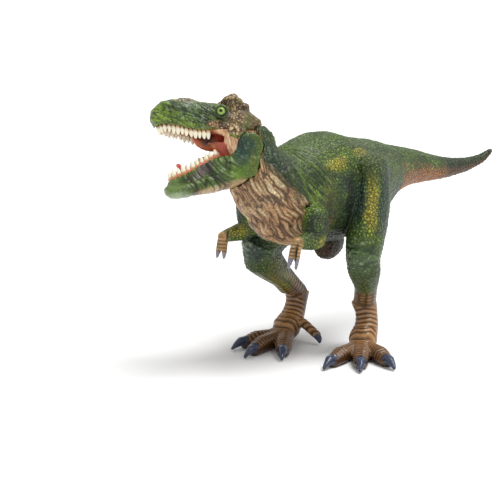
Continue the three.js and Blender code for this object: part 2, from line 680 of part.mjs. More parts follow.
// Neck: rows are [turned, forward, risen, half width, half depth]
const NECK_SHARES = [
  [0, 0, 0, 0.5, 0.545],
  [0.18, 0.59, 0.2, 0.475, 0.477],
  [0.55, 0.91, 0.486, 0.39, 0.386],
  [0.82, 0.955, 0.77, 0.325, 0.318],
  [0.95, 0.84, 1, 0.28, 0.25],
];
const THROAT_SHARE = 0.85; // of the neck's half depth, on the throat's side
const NECK_DOME = 3;
const NECK_PEG_SHARES = [0.05, 0.3]; // its ends: between the third and second rows, and the second and first
const neckStations = NECK_SHARES.map(([turned, forward, risen, half, depth]) => ({
  at: neckRoot.clone().add(vector(-turned * NECK_TURN, -forward * NECK_FORWARD, risen * NECK_RISE)),
  half: half * NECK_WIDTH,
  top: depth * NECK_DEPTH,
  bottom: depth * THROAT_SHARE * NECK_DEPTH,
}));
const neckLoft = (grow) =>
  loft(neckStations, { up: Y, sides: BODY_SIDES, domes: [NECK_DOME, NECK_DOME], grow });
const neckPeg = pegAndSocket(
  neckStations[2].at.clone().lerp(neckStations[1].at, NECK_PEG_SHARES[0]),
  neckStations[1].at.clone().lerp(neckStations[0].at, NECK_PEG_SHARES[1]),
  NECK_PEG_RADIUS,
);
const SKULL_PEG_SHARES = { foot: [0.117, -0.25], top: [0.1, 0.35] }; // back in the length, rise in the height
const [skullPegFoot, skullPegTop] = ["foot", "top"].map((end) => {
  const [back, rise] = SKULL_PEG_SHARES[end];
  return vector(0, back * SKULL_LENGTH, rise * SKULL_HEIGHT);
});
const skullPeg = pegAndSocket(skullPegFoot, skullPegTop, SKULL_PEG_RADIUS);
const inWorld = (made) => placed(made, head.matrix);
const neck = mainBody(
  neckLoft(0)
    .subtract(grownTrunk)
    .subtract(inWorld(skullBlank(SEAM_GAP)))
    .add(neckPeg.peg)
    .add(inWorld(skullPeg.peg))
    .subtract(inWorld(jawRoom()))
    .subtract(inWorld(cheekBlock(-RAMUS_THICKNESS, LINING_BACK + SEAM_GAP))),
);

const nostril = (side) =>
  ball(onSkull(NOSTRIL_SHARES, side), Array(3).fill(NOSTRIL_RADIUS), DIGIT_SIDES);
const skull = mainBody(
  skullBlank()
    .subtract(mouthHollow())
    .subtract(cheekBlock(-SEAM_GAP, LINING_BACK + SEAM_GAP))
    .subtract(jawRoom())
    .subtract(skullPeg.socket)
    .subtract(nostril(1))
    .subtract(nostril(-1)),
);

// Arms: each part's run in shares of its length, as [outward, back, up]
const LEFT_ARM_SHARES = {
  upper: [0.147, -0.176, -0.765],
  fore: [-0.125, -0.875, 0.03],
  finger: [0, -0.33, -1.04],
};
const RIGHT_ARM_SHARES = {
  upper: [0.235, 0.45, -0.85],
  fore: [0.6, -0.69, -0.22],
  finger: [0, -0.21, -0.92],
};
const ELBOW_SHARE = 0.74; // of the upper arm's radius
const BICEPS_SHARE = 0.6; // of the upper arm's length, below the shoulder
const FOREARM_SHARE = 0.4; // of the forearm's length, where it is thickest
const CLAW_TIP_SHARE = 0.25; // of a claw's radius
// Finger: rows are [from the knuckle to the tip, radius]
const FINGER_SHARES = [[0, 1], [0.35, 1], [0.7, 0.8], [1, CLAW_TIP_SHARE]];
const run = (shares, length, side) => vector(side * shares[0], shares[1], shares[2]).multiplyScalar(length);
const ovalAt = (at, radius) => ({ at, half: radius, top: radius, bottom: radius });
function arm(side, shares, thigh) {
  const spread = torsoStations[SHOULDER_ROW].half - SHOULDER_INSET;
  const shoulder = neckRoot.clone().add(vector(side * spread, -SHOULDER_FORWARD, -SHOULDER_DROP));
  const elbow = shoulder.clone().add(run(shares.upper, UPPER_ARM_LENGTH, side));
  const wrist = elbow.clone().add(run(shares.fore, FOREARM_LENGTH, side));
  const limb = [
    ovalAt(shoulder, UPPER_ARM_RADIUS),
    ovalAt(shoulder.clone().lerp(elbow, BICEPS_SHARE), UPPER_ARM_RADIUS),
    ovalAt(elbow, ELBOW_SHARE * UPPER_ARM_RADIUS),
    ovalAt(elbow.clone().lerp(wrist, FOREARM_SHARE), FOREARM_RADIUS),
    ovalAt(wrist, WRIST_RADIUS),
  ];
  const domes = [UPPER_ARM_RADIUS / 2, WRIST_RADIUS / 2];
  const parts = [loft(limb, { up: vector(side, 0, 0), domes }), ball(wrist, Array(3).fill(WRIST_RADIUS))];
  for (const apart of [-FINGER_SPREAD, FINGER_SPREAD]) {
    const knuckle = wrist.clone().add(vector(apart / 2, 0, 0));
    const tip = wrist.clone().add(run(shares.finger, FINGER_LENGTH, side)).add(vector(apart, 0, 0));
    const finger = FINGER_SHARES.map(([along, size]) =>
      ovalAt(knuckle.clone().lerp(tip, along), size * FINGER_RADIUS),
    );
    parts.push(loft(finger, { up: Y, sides: DIGIT_SIDES, steps: 1, domes: [FINGER_RADIUS / 2, 0] }));
  }
  const inside = shoulder.clone().addScaledVector(vector(side, 0, 0), -ARM_PEG_LENGTH);
  const { peg, socket } = pegAndSocket(shoulder, inside, ARM_PEG_RADIUS);
  const made = join(parts).subtract(grownTrunk).subtract(neckLoft(SEAM_GAP));
  return { made: mainBody(made.add(peg).subtract(thigh)), socket };
}

// Legs: rows are [outward to the knee, forward to it, height from ankle to hip, half width, front, back].
// The first three rows are measured in the thigh's sizes, the next in the knee's and the rest in the shin's.
const LEFT_LEG_SHARES = [
  [0, 0, 1.237, 0.48, 0.53, 0.45],
  [0.2, 0.05, 1.034, 0.5, 0.51, 0.44],
  [0.6, 0.52, 0.729, 0.5, 0.44, 0.38],
  [1, 1, 0.458, 0.5, 0.44, 0.4],
  [0.8, 0.76, 0.322, 0.68, 0.56, 0.74],
  [0.4, 0.38, 0.153, 0.48, 0.42, 0.46],
  [0.05, 0.19, -0.04, 0.49, 0.4, 0.44],
];
const RIGHT_LEG_SHARES = [
  [0, 0, 1.237, 0.48, 0.53, 0.5],
  [0.1, 0.05, 1.034, 0.5, 0.5, 0.5],
  [0.5, 0.486, 0.746, 0.5, 0.42, 0.46],
  [0.8, 1, 0.475, 0.5, 0.44, 0.5],
  [0.8, 0.81, 0.322, 0.68, 0.56, 0.86],
  [0.7, 0.46, 0.169, 0.48, 0.42, 0.5],
  [0.55, 0.108, -0.04, 0.49, 0.4, 0.46],
];
const THIGH_ROWS = 3;
const LEG_SPLAY_DEGREES = 29; // left leg's plane, outwards
const LEG_PEG_SHARES = [0.8, 0.05, 1.0]; // place of the peg's outer end, measured as a row is
function legPoint(side, reach, [outward, forward, height]) {
  const x = side * (torsoStations[HIP_ROW].half - HIP_INSET + outward * KNEE_SPREAD);
  return vector(x, HIP_BACK - forward * reach, ANKLE_HEIGHT + height * (HIP_HEIGHT - ANKLE_HEIGHT));
}
function slab(bottom, top) {
  const reach = TORSO_LENGTH + TAIL_LENGTH;
  return solid(new THREE.BoxGeometry(reach, reach, top - bottom).translate(0, 0, (top + bottom) / 2));
}
const belowAnkle = slab(-ANKLE_HEIGHT, ANKLE_HEIGHT);
function leg(side, reach, rows, splay) {
  const stations = rows.map(([outward, forward, height, half, front, back], i) => {
    const thigh = i < THIGH_ROWS;
    const knee = i === THIGH_ROWS;
    const width = thigh ? THIGH_WIDTH : knee ? KNEE_WIDTH : SHIN_WIDTH;
    const depth = thigh ? THIGH_DEPTH : knee ? KNEE_DEPTH : SHIN_DEPTH;
    const at = legPoint(side, reach, [outward, forward, height]);
    return { at, half: half * width, top: front * depth, bottom: back * depth };
  });
  const up = vector(Math.sin(radians(splay)), -Math.cos(radians(splay)), 0);
  const domes = [THIGH_WIDTH / 4, 0];
  const shape = { up, sides: LIMB_SIDES + 2, domes };
  const limb = loft(stations, shape).subtract(belowAnkle).subtract(grownTrunk);
  const end = stations[stations.length - 1].at;
  const ankle = pegAndSocket(
    vector(end.x, end.y, ANKLE_HEIGHT + ANKLE_PEG_LENGTH),
    vector(end.x, end.y, ANKLE_HEIGHT - ANKLE_PEG_LENGTH),
    ANKLE_PEG_RADIUS,
  );
  const outer = legPoint(side, reach, LEG_PEG_SHARES);
  const inner = outer.clone().setX(side * (torsoStations[HIP_ROW].half - LEG_PEG_LENGTH));
  const hip = pegAndSocket(outer, inner, LEG_PEG_RADIUS);
  const made = join([mainBody(limb), ankle.peg, hip.peg]);
  const room = loft(stations, { ...shape, grow: SEAM_GAP });
  return { made, socket: hip.socket, ankle: end, cuff: ankle.socket, room };
}

// Feet: each toe is [turn from the middle toe in the spread, length]
const LEFT_TOE_SHARES = [[-1, 1.04], [0, 1.03], [1, 0.96]];
const RIGHT_TOE_SHARES = [[-1, 1.05], [0, 1.08], [0.9, 0.88]];
const TOE_SHARES = [[0, 1.1], [0.35, 0.92], [0.72, 1], [1, 0.74]]; // along the toe, radius of the toe
// Rows are [from the ankle to the ball, radius of the cuff, back in that radius]
const METATARSUS_SHARES = [[0, 1, 0], [0.3, 0.84, 0.4], [0.68, 0.9, 0.5]];
// Claw: rows are [ahead of the toe's flesh, radius, height above the sole in the toe's radius]
const CLAW_SHARES = [[-0.3, 0.9, 1], [0.3, 0.85, 0.95], [0.75, 0.5, 0.6], [1, CLAW_TIP_SHARE, 0.25]];
// Hind toe as [inward, back, up]: its root from the ball in the ball's radius, then the places from the
// root to its tip in its own length
const LEFT_HALLUX_SHARES = {
  root: [0.632, 0.903, 1.661],
  run: [[0, 0, 0], [0.27, 0.3, -0.56], [0.45, 0.5, -0.82]],
};
const RIGHT_HALLUX_SHARES = {
  root: [0.65, 0.75, 1.5],
  run: [[0, 0, 0], [0.99, -0.185, -0.471], [1.22, -0.335, -0.731]],
};
const HALLUX_TAPER_SHARES = [1, 0.9, CLAW_TIP_SHARE]; // of its radius, at those three places
function foot(side, { ankle, cuff }, turn, ballBack, toes, halluxShares) {
  const centre = vector(side * STANCE, ballBack, BALL_RADIUS - SOLE_CUT);
  const top = vector(ankle.x, ankle.y, ANKLE_HEIGHT);
  const shank = METATARSUS_SHARES.map(([down, radius, back]) => {
    const at = top.clone().lerp(centre, down).addScaledVector(Y, back * CUFF_RADIUS);
    return ovalAt(at, radius * CUFF_RADIUS);
  });
  shank.unshift(ovalAt(top.clone().add(vector(0, 0, OVERRUN)), CUFF_RADIUS));
  shank.push(ovalAt(centre, BALL_RADIUS));
  const parts = [
    loft(shank, { up: Y.clone().negate(), domes: [0, BALL_RADIUS / 2] }),
    ball(centre, Array(3).fill(BALL_RADIUS)),
  ];
  for (const [spread, long] of toes) {
    const angle = radians(side * (turn + spread * TOE_SPREAD_DEGREES));
    const heading = vector(Math.sin(angle), -Math.cos(angle), 0);
    const length = long * (TOE_LENGTH + CLAW_LENGTH) - CLAW_LENGTH;
    const ground = centre.clone().setZ(-SOLE_CUT);
    const at = (along, height) => ground.clone().addScaledVector(heading, along).addScaledVector(Z, height);
    const flesh = TOE_SHARES.map(([along, size]) =>
      ovalAt(at(along * length, size * TOE_RADIUS), size * TOE_RADIUS),
    );
    parts.push(loft(flesh, { sides: DIGIT_SIDES, steps: 1, domes: [TOE_RADIUS / 2, TOE_RADIUS / 2] }));
    const claw = CLAW_SHARES.map(([along, size, height]) =>
      ovalAt(at(length + along * CLAW_LENGTH, SOLE_CUT + height * TOE_RADIUS), size * CLAW_RADIUS),
    );
    parts.push(loft(claw, { sides: DIGIT_SIDES, steps: 1 }));
  }
  const halluxRoot = centre.clone().setZ(0).add(run(halluxShares.root, BALL_RADIUS, -side));
  const hallux = halluxShares.run.map((shares, i) =>
    ovalAt(halluxRoot.clone().add(run(shares, HALLUX_LENGTH, -side)), HALLUX_TAPER_SHARES[i] * HALLUX_RADIUS),
  );
  parts.push(loft(hallux, { sides: DIGIT_SIDES, steps: 2 }));
  const aboveCuff = slab(ANKLE_HEIGHT - SEAM_GAP, ANKLE_HEIGHT + BALL_RADIUS + OVERRUN);
  return join(parts).subtract(aboveCuff).subtract(slab(-BALL_RADIUS, 0)).subtract(cuff);
}

const leftLeg = leg(1, LEFT_KNEE_REACH, LEFT_LEG_SHARES, LEG_SPLAY_DEGREES);
const rightLeg = leg(-1, RIGHT_KNEE_REACH, RIGHT_LEG_SHARES, 0);
const leftArm = arm(1, LEFT_ARM_SHARES, leftLeg.room);
const rightArm = arm(-1, RIGHT_ARM_SHARES, rightLeg.room);
const leftFoot = foot(1, leftLeg, LEFT_TURN_DEGREES, LEFT_BALL_BACK, LEFT_TOE_SHARES, LEFT_HALLUX_SHARES);
const rightFoot = foot(
  -1, rightLeg, RIGHT_TURN_DEGREES, RIGHT_BALL_BACK, RIGHT_TOE_SHARES, RIGHT_HALLUX_SHARES,
);
const socketedNeck = mainBody(neck.subtract(leftArm.socket).subtract(rightArm.socket));
const sockets = [tailPeg, neckPeg, leftArm, rightArm, leftLeg, rightLeg].map((piece) => piece.socket);
const torso = mainBody(
  sockets.reduce((cut, socket) => cut.subtract(socket), trunk()).subtract(inWorld(jawRoom())),
);

// Colours of the mouldings
const COLOURS = {
  body: 0x5d7040,
  tail: 0x6b7a45,
  head: 0x76825a,
  jaw: 0x5f7355,
  tooth: 0xe9dfc0,
  lining: 0xb4604a,
  tongue: 0xc95a50,
  steel: 0xb9bcc0,
  limb: 0x6d7a3e,
  foot: 0xa8713a,
};
function moulding(name, made, colour, roughness = 0.5, metalness = 0) {
  const material = new THREE.MeshStandardMaterial({ color: COLOURS[colour], roughness, metalness });
  const mesh = new THREE.Mesh(geometryOf(made), material);
  mesh.name = name;
  return mesh;
}
head.add(
  moulding("skull", skull, "head"),
  moulding("mouth_lining", mouthLining, "lining", 0.35),
  moulding("upper_teeth", upperTeeth, "tooth", 0.35),
  moulding("lower_jaw", lowerJaw, "jaw"),
  moulding("lower_teeth", lowerTeeth, "tooth", 0.35),
  moulding("tongue", tongue, "tongue", 0.35),
  moulding("jaw_pin", pin, "steel", 0.3, 1),
);
const figure = new THREE.Group();
figure.add(
  head,
  moulding("torso", torso, "body"),
  moulding("neck", socketedNeck, "body"),
  moulding("tail", tail, "tail"),
  moulding("left_arm", leftArm.made, "limb"),
  moulding("right_arm", rightArm.made, "limb"),
  moulding("left_leg", leftLeg.made, "limb"),
  moulding("right_leg", rightLeg.made, "limb"),
  moulding("left_foot", leftFoot, "foot"),
  moulding("right_foot", rightFoot, "foot"),
);

// The origin is under the middle of the figure's box, on the ground.
const box = new THREE.Box3().setFromObject(figure, true);
figure.position.set(-(box.min.x + box.max.x) / 2, -(box.min.y + box.max.y) / 2, -box.min.z);

export default figure;
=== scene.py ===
"""Painted, moulded looks for a striding toy dinosaur: skin, mouth, teeth, claws and a pale studio.

Sizes are millimetres in the figure's own frame, and become metres where a mesh is made.
"""

import enum
import json
import logging
import math
from collections.abc import Callable
from dataclasses import dataclass

import bpy
import numpy as np
from mathutils import Matrix, Vector
from mathutils.bvhtree import BVHTree


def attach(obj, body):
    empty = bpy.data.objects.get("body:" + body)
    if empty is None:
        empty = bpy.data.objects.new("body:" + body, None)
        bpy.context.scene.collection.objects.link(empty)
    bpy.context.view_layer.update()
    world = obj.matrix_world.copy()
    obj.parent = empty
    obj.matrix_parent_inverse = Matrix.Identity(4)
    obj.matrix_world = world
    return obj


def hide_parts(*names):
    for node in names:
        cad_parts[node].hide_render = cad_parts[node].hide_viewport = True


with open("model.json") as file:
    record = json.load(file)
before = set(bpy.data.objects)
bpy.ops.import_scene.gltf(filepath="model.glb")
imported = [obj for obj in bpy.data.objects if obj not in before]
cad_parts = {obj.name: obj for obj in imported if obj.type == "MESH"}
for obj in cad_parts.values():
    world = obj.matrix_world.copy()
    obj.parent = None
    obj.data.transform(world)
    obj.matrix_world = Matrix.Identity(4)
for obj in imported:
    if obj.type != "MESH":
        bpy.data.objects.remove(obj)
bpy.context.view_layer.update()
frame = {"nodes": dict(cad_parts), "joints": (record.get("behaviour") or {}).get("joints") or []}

LOG = logging.getLogger("figure")
MM = 0.001
Socket = bpy.types.NodeSocket
Array = np.ndarray
Triple = tuple[float, float, float]
Pixel = tuple[float, float]
GAMMA = 2.2
# More than any distance here, in millimetres
FAR = 1e9
# Turns a place into its mirror image
ACROSS = np.array([-1.0, 1.0, 1.0])
# What the steady pattern of `hashed` is mixed with
HASH_STEPS = (73856093, 19349663, 83492791)
HASH_SEED = 2654435761
HASH_ROUNDS = ((13, 1274126177), (16, 2246822519))
WORD = 0xFFFFFFFF
# All shapes are worked in the drawing's frame, where the jaw's hinge is at DRAWN_PIN
DRAWN_PIN = np.array([-11.50137, -56.49558, 110.66746])
SHIFT = np.array(frame["joints"][0]["pos_m"]) / MM - DRAWN_PIN


# Colour


def linear(red: float, green: float, blue: float) -> Triple:
    """Turns a paint's display colour into scene light.

    Args:
        red: Red from 0 to 255.
        green: Green from 0 to 255.
        blue: Blue from 0 to 255.

    Returns:
        The colour in linear light.
    """
    return tuple(round((value / 255) ** GAMMA, 5) for value in (red, green, blue))


class Paint:
    """The named paints of the figure."""

    BLACK = linear(6, 8, 6)
    DARK = linear(30, 42, 24)
    BLUE_GREEN = linear(42, 68, 52)
    GREEN = linear(84, 104, 44)
    LEAF = linear(110, 142, 42)
    LIME = linear(150, 176, 66)
    OLIVE = linear(122, 124, 44)
    YELLOW = linear(184, 172, 54)
    SAGE = linear(110, 136, 78)
    MINT = linear(160, 176, 140)
    CREAM = linear(214, 206, 168)
    TAN = linear(196, 150, 106)
    BONE = linear(168, 142, 100)
    PALE_TAN = linear(208, 176, 132)
    OCHRE = linear(164, 118, 56)
    ORANGE = linear(190, 118, 56)
    BROWN = linear(92, 64, 42)
    DARK_BROWN = linear(48, 30, 18)
    MAROON = linear(62, 16, 12)
    SALMON = linear(214, 138, 108)
    PINK = linear(206, 112, 96)
    CORAL = linear(214, 84, 66)
    IVORY = linear(238, 230, 204)
    SLATE = linear(58, 64, 82)
    LAVENDER = linear(120, 116, 128)
    PURPLE_GREY = linear(112, 100, 96)
    BLUE_BLACK = linear(30, 40, 44)


# Meshes as arrays


def smoothstep(low: float, high: float, value: Array) -> Array:
    """Rises from 0 at `low` to 1 at `high` with soft ends.

    Args:
        low: Where the rise starts.
        high: Where the rise ends.
        value: The values to shade.

    Returns:
        Weights from 0 to 1.
    """
    t = np.clip((value - low) / (high - low), 0, 1)
    return t * t * (3 - 2 * t)


def fade(low: float, high: float, value: Array) -> Array:
    """Falls from 1 at `low` to 0 at `high` with soft ends.

    Args:
        low: Where the fall starts.
        high: Where the fall ends.
        value: The values to shade.

    Returns:
        Weights from 1 to 0.
    """
    return 1 - smoothstep(low, high, value)


def hashed(cell: Array, seed: int) -> Array:
    """Gives each whole-number cell a steady value from 0 to 1.

    Args:
        cell: Cell numbers, in rows of three.
        seed: Which pattern to take.

    Returns:
        One value per row.
    """
    value = seed * HASH_SEED
    for axis, step in enumerate(HASH_STEPS):
        value = value ^ (cell[..., axis].astype(np.int64) * step)
    for shift, factor in HASH_ROUNDS:
        value = (value ^ (value >> shift)) * factor & WORD
    return (value ^ (value >> 15)) / WORD


def noise(points: Array, size: float, seed: int = 0) -> Array:
    """Soft lumps from -1 to 1.

    Args:
        points: Places in millimetres.
        size: Width of a lump.
        seed: Which pattern to take.

    Returns:
        One value per point.
    """
    p = points / size
    cell = np.floor(p)
    t = p - cell
    t = t * t * (3 - 2 * t)
    total = np.zeros(len(points))
    for corner in np.ndindex(2, 2, 2):
        share = np.prod(np.where(np.array(corner) > 0, t, 1 - t), axis=1)
        total += share * hashed(cell + corner, seed)
    return 2 * total - 1


def rough(points: Array, size: float, seed: int = 0, layers: int = 3) -> Array:
    """Lumps with finer lumps on them, from about -1 to 1.

    Args:
        points: Places in millimetres.
        size: Width of the largest lump.
        seed: Which pattern to take.
        layers: How many sizes of lump there are, each half of the last.

    Returns:
        One value per point.
    """
    layer = [noise(points, size / 2**k, seed + k) / 2**k for k in range(layers)]
    return sum(layer) / 1.5


def pebbles(points: Array, size: float, seed: int = 0) -> Array:
    """Rounded scales with creases between them: 1 on a scale's crown and 0 in a crease.

    Args:
        points: Places in millimetres.
        size: Width of a scale.
        seed: Which pattern to take.

    Returns:
        One value per point.
    """
    p = points / size
    cell = np.floor(p)
    first = np.full(len(p), 9.0)
    second = np.full(len(p), 9.0)
    for step in np.ndindex(3, 3, 3):
        near = cell + np.array(step) - 1
        drift = np.stack([hashed(near, seed + k) for k in range(3)], 1)
        centre = near + 0.5 + 0.36 * (2 * drift - 1)
        away = np.linalg.norm(p - centre, axis=1)
        second = np.minimum(second, np.maximum(first, away))
        first = np.minimum(first, away)
    return smoothstep(0.0, 0.45, second - first)


def segment(points: Array, start: Triple, end: Triple) -> tuple[Array, Array]:
    """Measures points against a straight line.

    Args:
        points: Places in millimetres.
        start: Start of the line.
        end: End of the line.

    Returns:
        The share along the line (unclamped) and the distance from it.
    """
    a, b = np.array(start, float), np.array(end, float)
    run = b - a
    share = (points - a) @ run / (run @ run)
    nearest = a + np.clip(share, 0, 1)[:, None] * run
    return share, np.linalg.norm(points - nearest, axis=1)


def read_mesh(mesh: bpy.types.Mesh) -> tuple[Array, Array]:
    """Reads a mesh as arrays.

    Args:
        mesh: The mesh.

    Returns:
        Its points, and the number of the point at each face corner in turn.
    """
    points = np.zeros(len(mesh.vertices) * 3)
    mesh.vertices.foreach_get("co", points)
    corners = np.zeros(len(mesh.loops), np.int32)
    mesh.loops.foreach_get("vertex_index", corners)
    return points.reshape(-1, 3), corners


def plain_object(name: str, points: list, edges: list, faces: list) -> bpy.types.Object:
    """Puts a plain mesh object in the scene.

    Args:
        name: Its name.
        points: Its corners.
        edges: Loose edges, as pairs of corner numbers.
        faces: Corner numbers of each face.

    Returns:
        The object.
    """
    mesh = bpy.data.meshes.new(name)
    mesh.from_pydata(points, edges, faces)
    made = bpy.data.objects.new(name, mesh)
    bpy.context.scene.collection.objects.link(made)
    return made


def finished(draft: bpy.types.Object) -> bpy.types.Mesh:
    """Takes a draft's mesh as its modifiers leave it, and removes the draft.

    Args:
        draft: The object with its modifiers.

    Returns:
        The changed mesh.
    """
    source = draft.data
    graph = bpy.context.evaluated_depsgraph_get()
    made = bpy.data.meshes.new_from_object(draft.evaluated_get(graph))
    bpy.data.objects.remove(draft)
    bpy.data.meshes.remove(source)
    return made


@dataclass
class Shape:
    """A closed mesh held as arrays.

    Attributes:
        points: Corners in millimetres.
        faces: Corner numbers of each face, in rows of three or four.
    """

    points: Array
    faces: Array

    @classmethod
    def of_node(cls, name: str) -> "Shape":
        """Copies a solid of the fixed frame with its doubled corners merged.

        Args:
            name: The node's name.

        Returns:
            The merged copy.
        """
        points, corners = read_mesh(frame["nodes"][name].data)
        found, place = np.unique(np.round(points / MM, 3), axis=0, return_inverse=True)
        return cls(found - SHIFT, place.reshape(-1)[corners].reshape(-1, 3))

    @classmethod
    def joined(cls, shapes: list["Shape"]) -> "Shape":
        """Puts several shapes into one list of faces.

        Args:
            shapes: Shapes with equally many corners to a face.

        Returns:
            The shapes together, unmerged.
        """
        starts = np.cumsum([0] + [len(s.points) for s in shapes[:-1]])
        faces = [s.faces + start for s, start in zip(shapes, starts)]
        return cls(np.concatenate([s.points for s in shapes]), np.concatenate(faces))

    def edges(self) -> Array:
        """Returns each edge once, as rows of two corner numbers."""
        pairs = np.stack([self.faces, np.roll(self.faces, -1, axis=1)], 2).reshape(-1, 2)
        pairs = np.sort(pairs, axis=1).astype(np.int64)
        code = np.unique(pairs[:, 0] * len(self.points) + pairs[:, 1])
        return np.stack([code // len(self.points), code % len(self.points)], 1)

    def normals(self) -> Array:
        """Returns the outward direction at each corner."""
        p = self.points[self.faces]
        cross = np.cross(p[:, 2] - p[:, 0], p[:, -1] - p[:, 1])
        corners, width = self.faces.reshape(-1), self.faces.shape[1]
        total = np.zeros_like(self.points)
        for k in range(3):
            total[:, k] = np.bincount(corners, np.repeat(cross[:, k], width), len(self.points))
        return total / np.maximum(np.linalg.norm(total, axis=1, keepdims=True), 1e-12)

    def grown(self, distance: float) -> "Shape":
        """Returns the shape with every corner `distance` millimetres further out."""
        return Shape(self.points + distance * self.normals(), self.faces)

    def relaxed(self, rounds: int, share: Array | float = 1.0) -> "Shape":
        """Evens the surface out without shrinking it much.

        Args:
            rounds: How many passes.
            share: How strongly each corner takes part, from 0 to 1.

        Returns:
            The smoother shape.
        """
        points = self.points.copy()
        weight = np.broadcast_to(np.asarray(share, float), len(points))[:, None]
        mean = Averager(self)
        for turn in range(rounds):
            step = 0.6 if turn % 2 == 0 else -0.52
            points += step * weight * (mean(points) - points)
        return Shape(points, self.faces)

    def moved(self, offset: Array) -> "Shape":
        """Returns the shape with each corner pushed outwards by its offset."""
        return Shape(self.points + offset[:, None] * self.normals(), self.faces)

    def embossed(self, offset: Array) -> "Shape":
        """Returns the shape pushed outwards, with the sharpest steps of the relief taken out."""
        return self.moved(Averager(self).spread(offset, 1))

    def largest(self) -> "Shape":
        """Returns the part with most corners, without loose scraps or inner shells."""
        edges = self.edges()
        label = np.arange(len(self.points))
        while True:
            low = np.minimum(label[edges[:, 0]], label[edges[:, 1]])
            new = label.copy()
            np.minimum.at(new, edges[:, 0], low)
            np.minimum.at(new, edges[:, 1], low)
            new = new[new]
            if (new == label).all():
                break
            label = new
        keep = label == np.bincount(label).argmax()
        number = np.cumsum(keep) - 1
        return Shape(self.points[keep], number[self.faces[keep[self.faces[:, 0]]]])

    def voxelled(self, pitch: float) -> "Shape":
        """Skins the shape's outside again with small even squares.

        Args:
            pitch: Width of a square.

        Returns:
            One closed skin.
        """
        draft = plain_object("draft", self.points.tolist(), [], self.faces.tolist())
        change = draft.modifiers.new("even", "REMESH")
        change.mode = "VOXEL"
        change.voxel_size = pitch
        change.adaptivity = 0.0
        made = finished(draft)
        points, corners = read_mesh(made)
        bpy.data.meshes.remove(made)
        return Shape(points, corners.reshape(-1, 4)).largest()


class Averager:
    """Averages values over each corner's neighbours on a shape."""

    def __init__(self, shape: Shape) -> None:
        """Lists the neighbours.

        Args:
            shape: The shape that the values lie on.
        """
        edges = shape.edges()
        self.ends = np.concatenate([edges, edges[:, ::-1]])
        self.size = len(shape.points)
        self.count = np.maximum(np.bincount(self.ends[:, 0], minlength=self.size), 1)

    def __call__(self, values: Array) -> Array:
        """Averages the neighbours of each corner.

        Args:
            values: One or more columns of values.

        Returns:
            The mean of the neighbours' values at each corner.
        """
        start, end = self.ends.T
        columns = values.reshape(self.size, -1).T
        mean = [np.bincount(start, c[end], self.size) / self.count for c in columns]
        return np.stack(mean, 1).reshape(values.shape)

    def spread(self, values: Array, rounds: int) -> Array:
        """Softens values over the surface.

        Args:
            values: One or more columns of values.
            rounds: How many passes.

        Returns:
            The softened values.
        """
        for _ in range(rounds):
            values = 0.5 * values + 0.5 * self(values)
        return values


class Coat:
    """Paint, scaliness and gloss at each corner of a shape, laid on in layers."""

    def __init__(self, count: int, base: Triple) -> None:
        """Starts with one even paint.

        Args:
            count: How many corners there are.
            base: The first paint.
        """
        self.colour = np.tile(np.array(base, float), (count, 1))
        self.scaly = np.ones(count)
        self.gloss = np.full(count, 0.3)

    def brush(self, paint: Triple, weight: Array) -> None:
        """Lays a paint over what is there, with a cover from 0 to 1 at each corner."""
        w = np.clip(weight, 0, 1)[:, None]
        self.colour = self.colour * (1 - w) + np.array(paint) * w

    def lay(self, *layers: tuple[Triple, Array]) -> None:
        """Lays several paints with their covers, the lowest first."""
        for paint, weight in layers:
            self.brush(paint, weight)

    def shade(self, factor: Array) -> None:
        """Multiplies each corner's colour by a factor."""
        self.colour = self.colour * factor[:, None]

    def smooth(self, weight: Array) -> None:
        """Takes scales away, by a share from 0 to 1 at each corner."""
        self.scaly = self.scaly * (1 - weight)

    def polish(self, gloss: float, weight: Array) -> None:
        """Brings the gloss to a value, by a share from 0 to 1 at each corner."""
        self.gloss = self.gloss + (gloss - self.gloss) * np.clip(weight, 0, 1)


# Materials


class Tree:
    """Short ways to add and feed the nodes of a tree."""

    def __init__(self, tree: bpy.types.NodeTree) -> None:
        """Wraps a tree."""
        self.tree = tree

    def node(self, kind: str, inputs: dict | None = None, **settings: object) -> bpy.types.Node:
        """Adds one node.

        Args:
            kind: The node's type.
            inputs: What its sockets are fed, by name or number.
            settings: Its properties by name.

        Returns:
            The node.
        """
        made = self.tree.nodes.new(kind)
        for name, value in settings.items():
            setattr(made, name, value)
        for key, value in (inputs or {}).items():
            self.plug(value, made.inputs[key])
        return made

    def plug(self, value: object, socket: Socket) -> None:
        """Feeds a socket.

        Args:
            value: A signal, another node's socket or a constant.
            socket: The socket to feed.
        """
        source = value.socket if isinstance(value, Signal) else value
        if isinstance(source, Socket):
            self.tree.links.new(source, socket)
        else:
            socket.default_value = source

    def number(self, operation: str, *terms: object) -> Socket:
        """Returns the result of one step of arithmetic on the terms, in order."""
        return self.node("ShaderNodeMath", dict(enumerate(terms)), operation=operation).outputs[0]


def arithmetic(operation: str, swapped: bool = False) -> Callable[["Signal", object], "Signal"]:
    """Makes one of a signal's arithmetic methods.

    Args:
        operation: What is done.
        swapped: Whether the other value comes first.

    Returns:
        The method.
    """

    def method(self: "Signal", other: object) -> "Signal":
        """Returns this signal and another value put together."""
        terms = (other, self) if swapped else (self, other)
        return Signal(self.graph, self.graph.number(operation, *terms))

    return method


